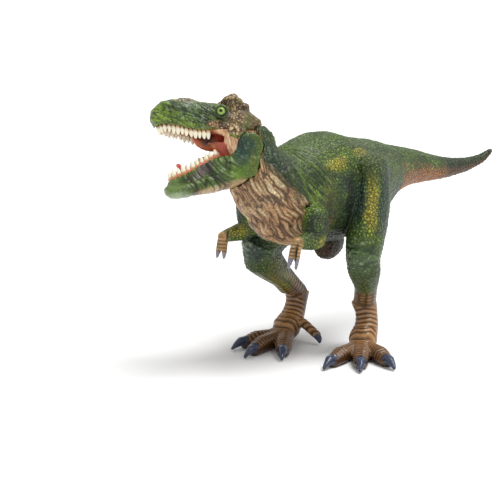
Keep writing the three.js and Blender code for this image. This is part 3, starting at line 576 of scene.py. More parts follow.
class Signal:
    """A number at every point of a material, with ordinary arithmetic."""

    def __init__(self, graph: "Graph", socket: Socket) -> None:
        """Wraps an output socket of a material's tree."""
        self.graph = graph
        self.socket = socket

    __add__, __radd__ = arithmetic("ADD"), arithmetic("ADD", True)
    __sub__, __rsub__ = arithmetic("SUBTRACT"), arithmetic("SUBTRACT", True)
    __mul__, __rmul__ = arithmetic("MULTIPLY"), arithmetic("MULTIPLY", True)

    def between(self, low: float, high: float) -> "Signal":
        """Returns 0 below `low`, 1 above `high` and a soft rise between them."""
        ends = {"Value": self, "From Min": low, "From Max": high}
        node = self.graph.node("ShaderNodeMapRange", ends, interpolation_type="SMOOTHSTEP")
        return Signal(self.graph, node.outputs["Result"])


class Graph(Tree):
    """A material and the tree that makes it."""

    def __init__(self, name: str) -> None:
        """Starts a material with an empty surface.

        Args:
            name: The material's name.
        """
        self.material = bpy.data.materials.new(name)
        self.material.use_nodes = True
        super().__init__(self.material.node_tree)
        self.surface = self.tree.nodes["Principled BSDF"]

    def place(self) -> Socket:
        """Returns the point's place on the object, in metres."""
        return self.node("ShaderNodeTexCoord").outputs["Object"]

    def paint(self) -> Socket:
        """Returns the paint stored on the mesh."""
        return self.node("ShaderNodeAttribute", attribute_name="paint").outputs["Color"]

    def stored(self, name: str) -> Signal:
        """Returns a number stored on the mesh."""
        return Signal(self, self.node("ShaderNodeAttribute", attribute_name=name).outputs["Fac"])

    def noise(self, size: float, detail: float = 3.0) -> Signal:
        """Returns soft lumps from 0 to 1, `size` millimetres wide, with finer layers."""
        feeds = {"Vector": self.place(), "Scale": 1 / (size * MM), "Detail": detail}
        return Signal(self, self.node("ShaderNodeTexNoise", feeds).outputs["Fac"])

    def creases(self, size: float) -> Signal:
        """Returns the distance to the nearest crease between pebbles `size` millimetres wide."""
        feeds = {"Vector": self.place(), "Scale": 1 / (size * MM)}
        made = self.node("ShaderNodeTexVoronoi", feeds, feature="DISTANCE_TO_EDGE")
        return Signal(self, made.outputs["Distance"])

    def mixed(self, weight: Signal, under: Triple, over: Triple) -> Socket:
        """Returns a blend of two paints, where the weight is the share of the second."""
        feeds = {"Factor": weight, 6: (*under, 1.0), 7: (*over, 1.0)}
        return self.node("ShaderNodeMix", feeds, data_type="RGBA").outputs[2]

    def scaled(self, colour: Socket, factor: Signal) -> Socket:
        """Returns a colour times a factor."""
        feeds = {0: colour, "Scale": factor}
        return self.node("ShaderNodeVectorMath", feeds, operation="SCALE").outputs[0]

    def coated(self, values: dict[str, object]) -> None:
        """Feeds the surface's sockets, by name, from signals, sockets or constants."""
        for name, value in values.items():
            self.plug(value, self.surface.inputs[name])

    def relief(self, height: Signal, depth: float) -> None:
        """Shades a fine height from 0 to 1, whose 1 stands for `depth` millimetres."""
        made = self.node("ShaderNodeBump", {"Distance": depth * MM, "Height": height})
        self.plug(made.outputs["Normal"], self.surface.inputs["Normal"])


@dataclass(frozen=True)
class SkinFinish:
    """Painted vinyl skin with pebble scales.

    Attributes:
        name: The material's name.
        pebble: Width of a scale, in millimetres.
        depth: Height of a scale.
        grain: Width of the fine mottling.
        patch: Width of the broad mottling.
        crease_wash_and_shade: How dark the creases between scales are painted, from 0 to 1: partly
            the toy's own dark paint, partly painted shade.
        dullness: Roughness where the mesh asks for no gloss.
        coat: Strength of the clear varnish.
    """

    name: str
    pebble: float = 1.5
    depth: float = 0.32
    grain: float = 0.9
    patch: float = 6.0
    crease_wash_and_shade: float = 0.72
    dullness: float = 0.5
    coat: float = 0.1

    def build(self) -> bpy.types.Material:
        """Makes the material.

        Returns:
            The material.
        """
        graph = Graph(self.name)
        paint, scaly, gloss = graph.paint(), graph.stored("scaly"), graph.stored("gloss")
        crown = graph.creases(self.pebble).between(0.02, 0.3)
        fine, patchy = graph.noise(self.grain), graph.noise(self.patch)
        # Painted shade, partly the toy's own dark paint: darker in the creases between the scales
        depth = (1 - crown) * scaly * self.crease_wash_and_shade
        tone = (1 - depth) * (0.5 + fine * 1.15) * (0.78 + patchy * 0.44)
        graph.coated({
            "Base Color": graph.scaled(paint, tone),
            "Roughness": self.dullness - gloss * 0.34 + fine * 0.1 - 0.05,
            "Coat Weight": self.coat,
            "Coat Roughness": 0.2,
            "Specular IOR Level": 0.35,
        })
        graph.relief(crown * scaly + fine * 0.35, self.depth)
        return graph.material


@dataclass(frozen=True)
class GlossFinish:
    """Smooth painted or polished surface with faint mottling.

    Attributes:
        name: The material's name.
        roughness: How dull it is.
        mottle: Width of the mottling, in millimetres.
        depth: Height of its fine relief.
        metallic: 1 for bare metal.
        coat: Strength of the clear varnish.
    """

    name: str
    roughness: float = 0.3
    mottle: float = 1.5
    depth: float = 0.05
    metallic: float = 0.0
    coat: float = 0.3

    def build(self) -> bpy.types.Material:
        """Makes the material.

        Returns:
            The material.
        """
        graph = Graph(self.name)
        paint, lumps = graph.paint(), graph.noise(self.mottle)
        graph.coated({
            "Base Color": graph.scaled(paint, 0.8 + lumps * 0.4),
            "Roughness": self.roughness + lumps * 0.12 - 0.06,
            "Metallic": self.metallic,
            "Coat Weight": self.coat,
            "Coat Roughness": 0.15,
        })
        graph.relief(lumps, self.depth)
        return graph.material


@dataclass(frozen=True)
class EnamelFinish:
    """Blunt ivory teeth that are browner at the gum.

    Attributes:
        name: The material's name.
        roughness: How dull it is.
        mottle: Width of the mottling, in millimetres.
        depth: Height of its fine relief.
        coat: Strength of the clear varnish.
    """

    name: str = "enamel"
    roughness: float = 0.28
    mottle: float = 1.2
    depth: float = 0.04
    coat: float = 0.3

    def build(self) -> bpy.types.Material:
        """Makes the material.

        Returns:
            The material.
        """
        graph = Graph(self.name)
        height, lumps = graph.stored("height"), graph.noise(self.mottle, 2.0)
        ivory = graph.mixed((height + lumps * 0.3).between(0.05, 0.55), Paint.OCHRE, Paint.IVORY)
        graph.coated({
            "Base Color": graph.scaled(ivory, 0.92 + lumps * 0.16),
            "Roughness": self.roughness,
            "Coat Weight": self.coat,
        })
        graph.relief(lumps, self.depth)
        return graph.material


class Body(enum.Enum):
    """The two bodies that move apart."""

    FIGURE = "figure"
    JAW = "jaw"


@dataclass
class Piece:
    """One finished piece of the figure, ready to be put in the scene.

    Attributes:
        name: The piece's name.
        shape: Its mesh.
        coat: Its paint.
        material: Its material.
        body: What it moves with.
        replaces: The frame's solids that it stands for.
        slot: The record's material slot; not used.
        normals: Outward directions to shade with, or None.
    """

    name: str
    shape: Shape
    coat: Coat
    material: bpy.types.Material
    body: Body
    replaces: tuple[str, ...]
    slot: str
    normals: Array | None = None

    def put(self) -> bpy.types.Object:
        """Makes the object and ties it to the frame.

        Returns:
            The object.
        """
        mesh = bpy.data.meshes.new(self.name)
        mesh.vertices.add(len(self.shape.points))
        mesh.vertices.foreach_set("co", ((self.shape.points + SHIFT) * MM).reshape(-1))
        width = self.shape.faces.shape[1]
        mesh.loops.add(self.shape.faces.size)
        mesh.loops.foreach_set("vertex_index", self.shape.faces.reshape(-1))
        mesh.polygons.add(len(self.shape.faces))
        mesh.polygons.foreach_set("loop_start", np.arange(0, self.shape.faces.size, width))
        mesh.update(calc_edges=True)
        mesh.polygons.foreach_set("use_smooth", np.ones(len(mesh.polygons), bool))
        colour = mesh.attributes.new("paint", "FLOAT_COLOR", "POINT")
        rgba = np.concatenate([self.coat.colour, np.ones((len(self.coat.colour), 1))], 1)
        colour.data.foreach_set("color", rgba.reshape(-1))
        for name, values in (("scaly", self.coat.scaly), ("gloss", self.coat.gloss)):
            mesh.attributes.new(name, "FLOAT", "POINT").data.foreach_set("value", values)
        mesh.materials.append(self.material)
        if self.normals is not None:
            mesh.normals_split_custom_set_from_vertices(self.normals.tolist())
        return tie(bpy.data.objects.new(self.name, mesh), self.body, self.replaces)


def tie(
    obj: bpy.types.Object, body: Body, replaced: tuple[str, ...]
) -> bpy.types.Object:
    """Puts an object in the scene and on the frame.

    Args:
        obj: The object.
        body: What it moves with.
        replaced: The frame's solids that it stands for.

    Returns:
        The object.
    """
    if obj.name not in bpy.context.scene.collection.objects:
        bpy.context.scene.collection.objects.link(obj)
    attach(obj, body.value)
    if replaced:
        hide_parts(*replaced)
    LOG.info("%s: %d points", obj.name, len(obj.data.vertices))
    return obj


# The figure's layout


@dataclass(frozen=True)
class HeadFrame:
    """Where the head is: x to its left, y to its back, z up.

    Attributes:
        origin: Its origin.
        yaw: Turn about the upright, in degrees.
        pitch: Nod, in degrees.
        roll: Lean, in degrees.
    """

    origin: Triple = (-11.99, -55.654, 113.505)
    yaw: float = -42.0
    pitch: float = -6.0
    roll: float = -18.0

    def matrix(self) -> Array:
        """Returns the turn from the head's frame to the figure's."""
        angles = ((self.yaw, "Z"), (self.pitch, "X"), (self.roll, "Y"))
        turns = [Matrix.Rotation(math.radians(angle), 3, axis) for angle, axis in angles]
        return np.array(turns[0] @ turns[1] @ turns[2])

    def local(self, points: Array) -> Array:
        """Returns points of the drawing in the head's frame."""
        return (points - np.array(self.origin)) @ self.matrix()

    def world(self, points: Array) -> Array:
        """Returns points of the head's frame in the drawing."""
        return np.asarray(points, float) @ self.matrix().T + np.array(self.origin)

    def flipped(self, points: Array) -> Array:
        """Returns points mirrored across the head's middle."""
        return self.world(self.local(points) * ACROSS)

    def inward(self, points: Array, normals: Array) -> Array:
        """Returns 1 where a skin, placed in the head's frame, faces its middle, and -1 away."""
        return -normals @ self.matrix()[:, 0] * np.sign(points[:, 0])


@dataclass(frozen=True)
class View:
    """The photograph's view of the figure.

    Attributes:
        eye: Where the camera is.
        azimuth: Degrees from the figure's front towards its left.
        elevation: Degrees above level.
        focal: Pixels per unit of tangent.
        half: Half the picture's width in pixels.
    """

    eye: Triple = (523.33, -814.84, 257.33)
    azimuth: float = 35.0
    elevation: float = 12.0
    focal: float = 1900.0
    half: float = 250.0

    def axes(self) -> tuple[Array, Array, Array]:
        """Returns the directions right, up and back."""
        a, e = math.radians(self.azimuth), math.radians(self.elevation)
        back = np.array([math.sin(a) * math.cos(e), -math.cos(a) * math.cos(e), math.sin(e)])
        right = np.array([math.cos(a), math.sin(a), 0.0])
        return right, np.cross(back, right), back

    def ray(self, pixel: Pixel) -> Array:
        """Follows a pixel into the scene.

        Args:
            pixel: The pixel, from the picture's upper left corner.

        Returns:
            The direction that it looks along.
        """
        right, up, back = self.axes()
        x, y = pixel[0] - self.half, self.half - pixel[1]
        run = x * right + y * up - self.focal * back
        return run / np.linalg.norm(run)

    def scale(self, place: Array) -> float:
        """Returns the pixels per millimetre at a place."""
        return self.focal / float(np.linalg.norm(place - np.array(self.eye)))


HEAD = HeadFrame()
VIEW = View()


def across_body(points: Array) -> Array:
    """Returns points mirrored across the figure's middle."""
    return points * ACROSS


@dataclass(frozen=True)
class Dab:
    """A soft patch of paint or relief, set where a pixel of the photograph's view meets the skin.

    Attributes:
        name: What the patch is.
        pixel: Its middle.
        size: Its half width and half height, in pixels.
        paint: Its paint, or None for relief only.
        cover: How strongly it covers.
        turn: Its lean clockwise, in degrees.
        rise: How far it stands out, in millimetres.
        both: Whether the far side has it too.
    """

    name: str
    pixel: Pixel
    size: Pixel
    paint: Triple | None = None
    cover: float = 0.7
    turn: float = 0.0
    rise: float = 0.0
    both: bool = True


class Canvas:
    """A skin on which patches are set, with edges that wander by `WANDER` over `WANDER_WIDTH`."""

    WANDER = 1.1
    WANDER_WIDTH = 5.0

    def __init__(self, shape: Shape, flip: Callable[[Array], Array]) -> None:
        """Readies a skin.

        Args:
            shape: The skin.
            flip: Mirrors points to the far side.
        """
        self.shape = shape
        self.flip = flip
        self.tree = BVHTree.FromPolygons(shape.points.tolist(), shape.faces.tolist())
        warp = np.stack([noise(shape.points, self.WANDER_WIDTH, k) for k in range(3)], 1)
        self.near = shape.points + self.WANDER * warp
        self.far = flip(self.near)

    def place(self, pixel: Pixel) -> Array | None:
        """Returns where a pixel's ray first meets the skin, or None."""
        hit = self.tree.ray_cast(Vector(VIEW.eye), Vector(VIEW.ray(pixel)))[0]
        return None if hit is None else np.array(hit)

    def weight(self, dab: Dab) -> Array:
        """Measures a patch against the skin.

        Args:
            dab: The patch.

        Returns:
            Its cover at each corner of the skin, from 0 to 1.
        """
        place = self.place(dab.pixel)
        if place is None:
            LOG.info("no skin under %s", dab.name)
            return np.zeros(len(self.near))
        right, up, back = VIEW.axes()
        c, s = math.cos(math.radians(dab.turn)), math.sin(math.radians(dab.turn))
        scale = VIEW.scale(place)
        total = np.zeros(len(self.near))
        for points in (self.near, self.far) if dab.both else (self.near,):
            d = points - place
            x, y = d @ right * scale, -(d @ up) * scale
            deep = np.abs(d @ back) / (0.6 * max(dab.size) / scale + 3)
            wide, high = (c * x + s * y) / dab.size[0], (c * y - s * x) / dab.size[1]
            away = np.sqrt(wide**2 + high**2 + deep**4)
            total = np.maximum(total, fade(0.4, 1.2, away))
        return total

    def brush(self, coat: Coat, dabs: tuple[Dab, ...]) -> None:
        """Paints patches, in order.

        Args:
            coat: The paint to change.
            dabs: The patches.
        """
        for dab in dabs:
            if dab.paint is not None:
                coat.brush(dab.paint, dab.cover * self.weight(dab))

    def relief(self, dabs: tuple[Dab, ...]) -> Array:
        """Returns how far the patches stand out at each corner."""
        raised = (dab.rise * self.weight(dab) for dab in dabs if dab.rise)
        return sum(raised, np.zeros(len(self.near)))


@dataclass(frozen=True)
class Limb:
    """A jointed line inside the figure, to measure its skin against.

    Attributes:
        joints: The line's corners.
    """

    joints: tuple[Triple, ...]

    def spans(self) -> list[float]:
        """Returns the lengths between the corners."""
        return [math.dist(a, b) for a, b in zip(self.joints, self.joints[1:])]

    def measure(self, points: Array) -> tuple[Array, Array, Array]:
        """Measures points against the line.

        Args:
            points: Places to measure.

        Returns:
            Run along the line, distance from it, and the nearest place on it.
        """
        best = np.full(len(points), FAR)
        run = np.zeros(len(points))
        foot = np.zeros_like(points)
        start = 0.0
        for a, b, length in zip(self.joints, self.joints[1:], self.spans()):
            share, away = segment(points, a, b)
            closer = away < best
            share = np.clip(share, 0, 1)
            place = np.array(a) + share[:, None] * (np.array(b) - np.array(a))
            best = np.where(closer, away, best)
            run = np.where(closer, start + share * length, run)
            foot = np.where(closer[:, None], place, foot)
            start += length
        return run, best, foot


def ridges(phase: Array, sharpness: float = 0.5) -> Array:
    """Rounded ridges with narrow valleys at whole numbers.

    Args:
        phase: Ridge number, as a running value.
        sharpness: Under 1 narrows the valleys.

    Returns:
        Heights from 0 to 1.
    """
    return np.abs(np.sin(math.pi * phase)) ** sharpness


def wrinkles(across: Array, along: Array, width: float, length: float, seed: int) -> Array:
    """Irregular folds that branch and end.

    Args:
        across: Running distance across the folds, in millimetres.
        along: Running distance along them.
        width: Width of a fold.
        length: How far a fold runs.
        seed: Which pattern to take.

    Returns:
        Heights: 0 in a crease and 1 on a fold.
    """
    flat = np.zeros(len(across))
    coarse = noise(np.stack([across / width, along / length, flat], 1), 1.0, seed)
    fine = noise(np.stack([across / width * 1.9, along / length * 1.6, flat], 1), 1.0, seed + 1)
    shallow = 0.25 + 0.75 * smoothstep(0.0, 0.3, np.abs(fine))
    return np.minimum(smoothstep(0.0, 0.3, np.abs(coarse)), shallow)


# Lines through the limbs, from the hip to the ball of the foot and from the shoulder to the claws
LEFT_LEG = Limb((
    (18, 14, 98), (20, 13, 86), (24, 3, 68), (28, -7, 52),
    (26, -2, 44), (22, 6, 34), (18.5, 10, 22.6), (23, 2, 6.7),
))
RIGHT_LEG = Limb((
    (-18, 14, 98), (-19, 12, 86), (-23, -4, 69), (-26, -23, 53),
    (-26, -16, 44), (-25, -3, 35), (-23.5, 10, 22.6), (-23, -1, 6.7),
))
LEFT_ARM = Limb(((20, -40, 80), (22.5, -43, 67), (20.5, -57, 67.5), (20.5, -61, 55)))
RIGHT_ARM = Limb(((-20, -40, 80), (-24, -32.4, 65.6), (-33.6, -43.4, 62), (-33.6, -46, 51)))


@dataclass(frozen=True)
class Toe:
    """One toe and its claw.

    Attributes:
        ball: Middle of the foot's ball.
        heading: Degrees to the left of straight ahead.
        length: Ball to the end of the flesh.
    """

    ball: Triple
    heading: float
    length: float

    def ahead(self) -> Array:
        """Returns the level direction that the toe points in."""
        turn = math.radians(self.heading)
        return np.array([math.sin(turn), -math.cos(turn), 0.0])

    def line(self) -> Limb:
        """Returns the line through the toe's flesh."""
        tip = np.array(self.ball) + self.ahead() * self.length
        return Limb((self.ball, (tip[0], tip[1], 4.0)))

    def claw(self) -> Limb:
        """Returns the line through the claw."""
        base = np.array([self.ball[0], self.ball[1], 0.0]) + self.ahead() * (self.length - 1.5)
        rows = ((0.0, 4.4), (3.0, 4.2), (7.0, 2.6), (10.5, 1.1))
        places = (base + self.ahead() * run + np.array([0, 0, high]) for run, high in rows)
        return Limb(tuple(tuple(place) for place in places))


LEFT_BALL = (23.0, 2.0, 6.7)
RIGHT_BALL = (-23.0, -1.0, 6.7)
LEFT_TOES = (Toe(LEFT_BALL, 5.0, 34.7), Toe(LEFT_BALL, 30.0, 34.3), Toe(LEFT_BALL, 55.0, 31.3))
RIGHT_TOES = (Toe(RIGHT_BALL, 31.0, 35.1), Toe(RIGHT_BALL, 6.0, 36.4), Toe(RIGHT_BALL, -16.5, 28.0))
LEFT_SPUR = Limb(((18.0, 8.0, 10.0), (15.0, 12.0, 6.0), (12.4, 15.2, 1.5)))
RIGHT_SPUR = Limb(((-15.0, 3.0, 12.0), (-8.0, 1.0, 7.3), (-2.2, 0.6, 2.0)))
LEGS = (("left_leg", LEFT_LEG), ("right_leg", RIGHT_LEG))
ARMS = (("left_arm", LEFT_ARM), ("right_arm", RIGHT_ARM))
FEET = (
    ("left_foot", LEFT_TOES, LEFT_LEG, LEFT_SPUR),
    ("right_foot", RIGHT_TOES, RIGHT_LEG, RIGHT_SPUR),
)
# Middle of each knee, and the height under which the rings above the foot begin
KNEES = (((28.0, -12.0, 54.0), 31.0), ((-26.0, -27.0, 56.0), 38.0))
# The record's material slot for each solid that shares the one skin
HIDE_SLOTS = {
    "torso": "body", "neck": "body", "tail": "tail", "left_arm": "limb", "right_arm": "limb",
    "left_leg": "limb", "right_leg": "limb", "left_foot": "foot", "right_foot": "foot",
}
HIDE_NODES = tuple(HIDE_SLOTS)

BODY_PATCHES = (
    Dab("nape green", (260, 126), (14, 24), Paint.LEAF, 0.9, -35),
    Dab("nape lime", (256, 122), (7, 14), Paint.LIME, 0.6, -30),
    Dab("neck blue", (270, 158), (14, 28), Paint.BLUE_GREEN, 0.8, -20),
    Dab("neck flank", (290, 178), (14, 30), Paint.DARK, 0.6, -25),
    Dab("shoulder green", (292, 158), (16, 16), Paint.GREEN, 0.7),
    Dab("back green", (312, 143), (30, 10), Paint.SAGE, 0.45),
    Dab("back leaf", (318, 160), (30, 16), Paint.LEAF, 0.4),
    Dab("saddle green", (347, 158), (32, 13), Paint.LEAF, 0.6, -25),
    Dab("flank yellow", (338, 163), (17, 8), Paint.YELLOW, 0.75, -25),
    Dab("saddle yellow", (360, 152), (18, 6), Paint.YELLOW, 0.6, -25),
    Dab("rump sage", (372, 138), (20, 7), Paint.SAGE, 0.6, 15),
    Dab("flank dark", (322, 176), (28, 10), Paint.DARK, 0.45),
    Dab("rib green", (333, 205), (12, 32), Paint.LEAF, 0.7, 4),
    Dab("rib yellow", (330, 200), (6, 22), Paint.YELLOW, 0.35, 4),
    # Painted shade between the left arm and the trunk, in this patch and the next
    Dab("arm pit shade", (299, 212), (4, 22), Paint.DARK, 0.7, 8),
    Dab("arm back shade", (329, 216), (2.5, 24), Paint.DARK, 0.55, 4),
    Dab("upper arm green", (312, 210), (11, 28), Paint.LEAF, 0.9, 10),
    Dab("upper arm lime", (316, 198), (6, 12), Paint.LIME, 0.5, 10),
    Dab("elbow", (312, 236), (10, 9), Paint.GREEN, 0.7),
    # Painted shade under the belly and between the trunk and the left thigh, in this patch and the
    # next
    Dab("belly shade", (338, 242), (12, 5), Paint.DARK, 0.5),
    Dab("groin shade", (350, 205), (5, 42), Paint.DARK, 0.9, 4),
    Dab("thigh front", (357, 200), (6, 40), Paint.BLUE_GREEN, 0.75, 4),
    Dab("thigh top", (360, 170), (9, 12), Paint.GREEN, 0.6),
    Dab("thigh yellow", (372, 206), (8, 34), Paint.YELLOW, 0.9, 3),
    Dab("thigh back", (385, 200), (6, 42), Paint.BLUE_GREEN, 0.85, 2),
    Dab("thigh low", (366, 238), (14, 12), Paint.LEAF, 0.45),
    Dab("knee", (363, 260), (18, 12), Paint.SAGE, 0.55),
    Dab("shin", (362, 283), (12, 15), Paint.GREEN, 0.6),
    Dab("cuff", (362, 312), (16, 11), Paint.BROWN, 0.9),
    # Painted shade on the far arm's shoulder, under the neck
    Dab("right shoulder shade", (238, 215), (8, 14), Paint.BLUE_BLACK, 0.8),
    Dab("right forearm", (238, 230), (12, 8), Paint.YELLOW, 0.7),
    Dab("right wrist", (222, 236), (8, 7), Paint.PALE_TAN, 0.8),
    # Painted shade on the far knee, under the trunk
    Dab("right knee shade", (254, 248), (13, 18), Paint.BLUE_BLACK, 0.95, 0, 0, False),
    Dab("right thigh", (272, 240), (12, 10), Paint.OLIVE, 0.5, 0, 0, False),
    Dab("right shin", (278, 268), (18, 12), Paint.OLIVE, 0.75, 40, 0, False),
    Dab("right ankle", (302, 288), (14, 10), Paint.BROWN, 0.8, 0, 0, False),
    Dab("pubis", (330, 250), (16, 10), Paint.BROWN, 0.95),
    Dab("flank shade", (334, 210), (12, 30), Paint.DARK, 0.6),
)
# Grooves between the fingers, with black paint in them as painted shade
FINGER_GAPS_AND_SHADE = (
    Dab("left finger gap shade", (295.8, 254), (1.3, 12), Paint.BLACK, 1.0, 12, -0.9),
    Dab("right finger gap shade", (226.5, 236), (1.2, 8), Paint.BLACK, 0.9, 8, -0.6),
)


@dataclass
class Hide:
    """The continuous moulded skin of the trunk, tail and limbs, in millimetres.

    Attributes:
        pitch: Width of the skin's squares.
        growth: How far the skin lies outside the solids.
        neck_growth: The same round the neck, whose ends sit in their neighbours.
        rounds: How many times the skin is evened out.
        lump: Height of the unevenness of trunk and tail.
        fold: Depth of the folds on throat and chest.
        wrinkle: Depth of the wrinkles on the knees.
        cuff: Depth of the rings above the feet.
        scute: Depth of the grooves across the toes.
        band: Depth of the grooves across the fingers.
        pebble: Width of a scale.
        pebble_height: Height of a scale.
    """

    pitch: float = 0.55
    growth: float = 0.2
    neck_growth: float = 0.5
    rounds: int = 60
    lump: float = 0.25
    fold: float = 1.0
    wrinkle: float = 0.6
    cuff: float = 0.5
    scute: float = 0.7
    band: float = 0.22
    pebble: float = 1.9
    pebble_height: float = 0.3

    def __post_init__(self) -> None:
        """Skins the solids together and sculpts them."""
        growths = {"neck": self.neck_growth}
        sources = [Shape.of_node(name).grown(growths.get(name, self.growth)) for name in HIDE_NODES]
        self.shape = Shape.joined(sources).voxelled(self.pitch)
        self.label = self.nearest(sources)
        digit = self.digits(self.shape.points)
        self.shape = self.shape.relaxed(self.rounds, 1 - 0.8 * digit)
        self.mean = Averager(self.shape)
        owner = self.label[:, None] == np.arange(len(HIDE_NODES))
        self.part = dict(zip(HIDE_NODES, self.mean.spread(owner.astype(float), 10).T))
        self.coat = Coat(len(self.shape.points), Paint.GREEN)
        self.sculpt()
        LOG.info("hide: %d points", len(self.shape.points))

    @staticmethod
    def digits(points: Array) -> Array:
        """Finds the fingers, toes and claws.

        Args:
            points: Places in millimetres.

        Returns:
            How much each point belongs to one of them, from 0 to 1.
        """
        lines = [(toe.claw(), 3.5, 6.0) for toe in LEFT_TOES + RIGHT_TOES]
        lines += [(Limb(arm.joints[2:]), 4.0, 7.0) for _, arm in ARMS]
        lines += [(spur, 3.0, 5.0) for spur in (LEFT_SPUR, RIGHT_SPUR)]
        near = np.zeros(len(points))
        for line, full, none in lines:
            near = np.maximum(near, fade(full, none, line.measure(points)[1]))
        return near

    def nearest(self, sources: list[Shape]) -> Array:
        """Finds the solid that each corner of the skin lies on.

        Args:
            sources: The solids.

        Returns:
            The number of the nearest solid for each corner.
        """
        best = np.full(len(self.shape.points), FAR)
        label = np.zeros(len(self.shape.points), int)
        for number, source in enumerate(sources):
            tree = BVHTree.FromPolygons(source.points.tolist(), source.faces.tolist())
            low, high = source.points.min(0) - 3, source.points.max(0) + 3
            inside = np.flatnonzero(((self.shape.points > low) & (self.shape.points < high)).all(1))
            for i in inside:
                away = tree.find_nearest(self.shape.points[i])[3]
                if away is not None and away < best[i]:
                    best[i] = away
                    label[i] = number
        return label

    def sculpt(self) -> None:
        """Cuts folds, wrinkles and scutes, and paints the skin."""
        self.normals = self.shape.normals()
        p, coat, part = self.shape.points, self.coat, self.part
        trunk = part["torso"] + part["neck"]
        lumps = rough(p, 9.0, 3)
        offset = self.lump * lumps * (trunk + part["tail"])
        self.ground(lumps)
        canvas = Canvas(self.shape, across_body)
        canvas.brush(coat, BODY_PATCHES)
        offset += canvas.relief(BODY_PATCHES)
        offset += self.neck_folds(trunk)
        offset += self.leg_wrinkles()
        offset += self.feet()
        offset += self.hands()
        # Painted shade: black in the grooves between the fingers
        canvas.brush(coat, FINGER_GAPS_AND_SHADE)
        offset += canvas.relief(FINGER_GAPS_AND_SHADE)
        grain = pebbles(p, self.pebble, 5)
        scale = 1 - np.clip(part["left_foot"] + part["right_foot"] + self.digits(p), 0, 1)
        offset += self.pebble_height * (grain - 0.6) * scale * coat.scaly
        # Painted highlight: pale paint on the crowns of scales that face upwards
        painted_highlight = smoothstep(-0.2, 0.8, self.normals[:, 2])
        coat.brush(Paint.MINT, 0.12 * scale * coat.scaly * grain**4 * painted_highlight)
        # Painted light and shade, partly the toy's wash and dry-brushing: scale crowns lighter,
        # creases darker
        coat.shade(1 + scale * coat.scaly * (0.28 * grain - 0.46 * (1 - grain)))
        self.shape = self.shape.moved(offset)

    def ground(self, lumps: Array) -> None:
        """Lays the large areas of paint.

        Args:
            lumps: Soft unevenness from -1 to 1.
        """
        p, n, coat, part = self.shape.points, self.normals, self.coat, self.part
        coat.lay(
            (Paint.LEAF, 0.45 * smoothstep(-0.3, 0.4, rough(p, 14.0, 9))),
            (Paint.BLUE_GREEN, 0.7 * smoothstep(0.1, 0.6, rough(p, 13.0, 21))),
            (Paint.DARK, 0.45 * smoothstep(0.15, 0.75, rough(p, 7.0, 23))),
        )
        # Painted light and shade by the way each face points: the torso's sides bluer and its
        # underside darker, the tops of torso and tail paler
        side = smoothstep(0.3, -0.3, n[:, 2] + 0.2 * lumps)
        coat.lay(
            (Paint.BLUE_GREEN, 0.6 * side * part["torso"]),
            (Paint.SAGE, 0.35 * smoothstep(0.5, 0.9, n[:, 2]) * (part["torso"] + part["tail"])),
            (Paint.DARK, 0.5 * smoothstep(0.1, 0.6, -n[:, 2]) * part["torso"]),
        )
        down = -n[:, 2] + 0.12 * lumps
        coat.lay(
            (Paint.OCHRE, 0.85 * smoothstep(-0.25, 0.0, down) * part["tail"]),
            (Paint.ORANGE, 0.9 * smoothstep(-0.05, 0.35, down) * part["tail"]),
            (Paint.DARK, 0.7 * smoothstep(100, 122, p[:, 1]) * part["tail"]),
        )
        for name, line in LEGS:
            left = sum(line.spans()) - line.measure(p)[0]
            coat.brush(Paint.BROWN, 0.85 * part[name] * fade(27, 36, left))
        for name in ("left_foot", "right_foot"):
            coat.brush(Paint.OCHRE, part[name])

    def neck_folds(self, trunk: Array) -> Array:
        """Folds of loose skin down the throat and chest.

        Args:
            trunk: How much each point belongs to the neck and torso.

        Returns:
            How far each point moves.
        """
        p, n, coat = self.shape.points, self.normals, self.coat
        rise = smoothstep(60.0, 106.0, p[:, 2])
        run = 1.2 * p[:, 2]
        turn = np.arctan2(p[:, 0] + 6.0 * rise**2, -(p[:, 1] + 20.0 + 20.0 * rise))
        around = turn * 18.0 + noise(p, 8.0, 31)
        across = around + 0.1 * run + 0.5 * noise(p, 4.0, 33)
        fold = pebbles(np.stack([across, run / 8.0, 0 * run], 1), 1.4, 31)
        fine = wrinkles(across + 30.0, run, 1.3, 12.0, 38)
        front = n @ np.array([0.0, -0.86, -0.5]) + 0.12 * noise(p, 8.0, 34)
        ahead = smoothstep(-20, -32, p[:, 1]) * trunk
        throat = smoothstep(0.15, 0.5, front) * smoothstep(52, 60, p[:, 2]) * ahead
        side = ahead * smoothstep(72, 90, p[:, 2]) * (1 - throat)
        coat.lay(
            (Paint.TAN, 0.95 * throat),
            (Paint.BROWN, 0.35 * throat * fade(0.3, 0.6, front)),
            (Paint.PALE_TAN, 0.8 * throat * smoothstep(0.0, 0.6, noise(p, 9.0, 35))),
            # The folds' creases darker and their crowns paler: partly the toy's wash, partly
            # painted shade and painted highlight
            (Paint.BROWN, throat * fade(0.0, 0.4, fold) * 0.62),
            (Paint.BROWN, throat * (1 - fine) * 0.4),
            (Paint.DARK_BROWN, throat * fade(0.0, 0.15, fold) * 0.7),
            (Paint.CREAM, throat * smoothstep(0.7, 0.95, fold) * fine * 0.55),
            (Paint.DARK, side * fade(0.1, 0.5, fold) * 0.8),
        )
        # Painted highlight: pale flecks on the fold crowns down the neck's side
        painted_highlight = smoothstep(0.8, 1.0, fold) * smoothstep(0.1, 0.6, noise(p, 3.0, 37))
        coat.brush(Paint.MINT, side * painted_highlight * 0.5)
        weight = np.clip(throat + 0.8 * side, 0, 1)
        coat.smooth(0.6 * weight)
        return self.fold * weight * (fold - 0.7)

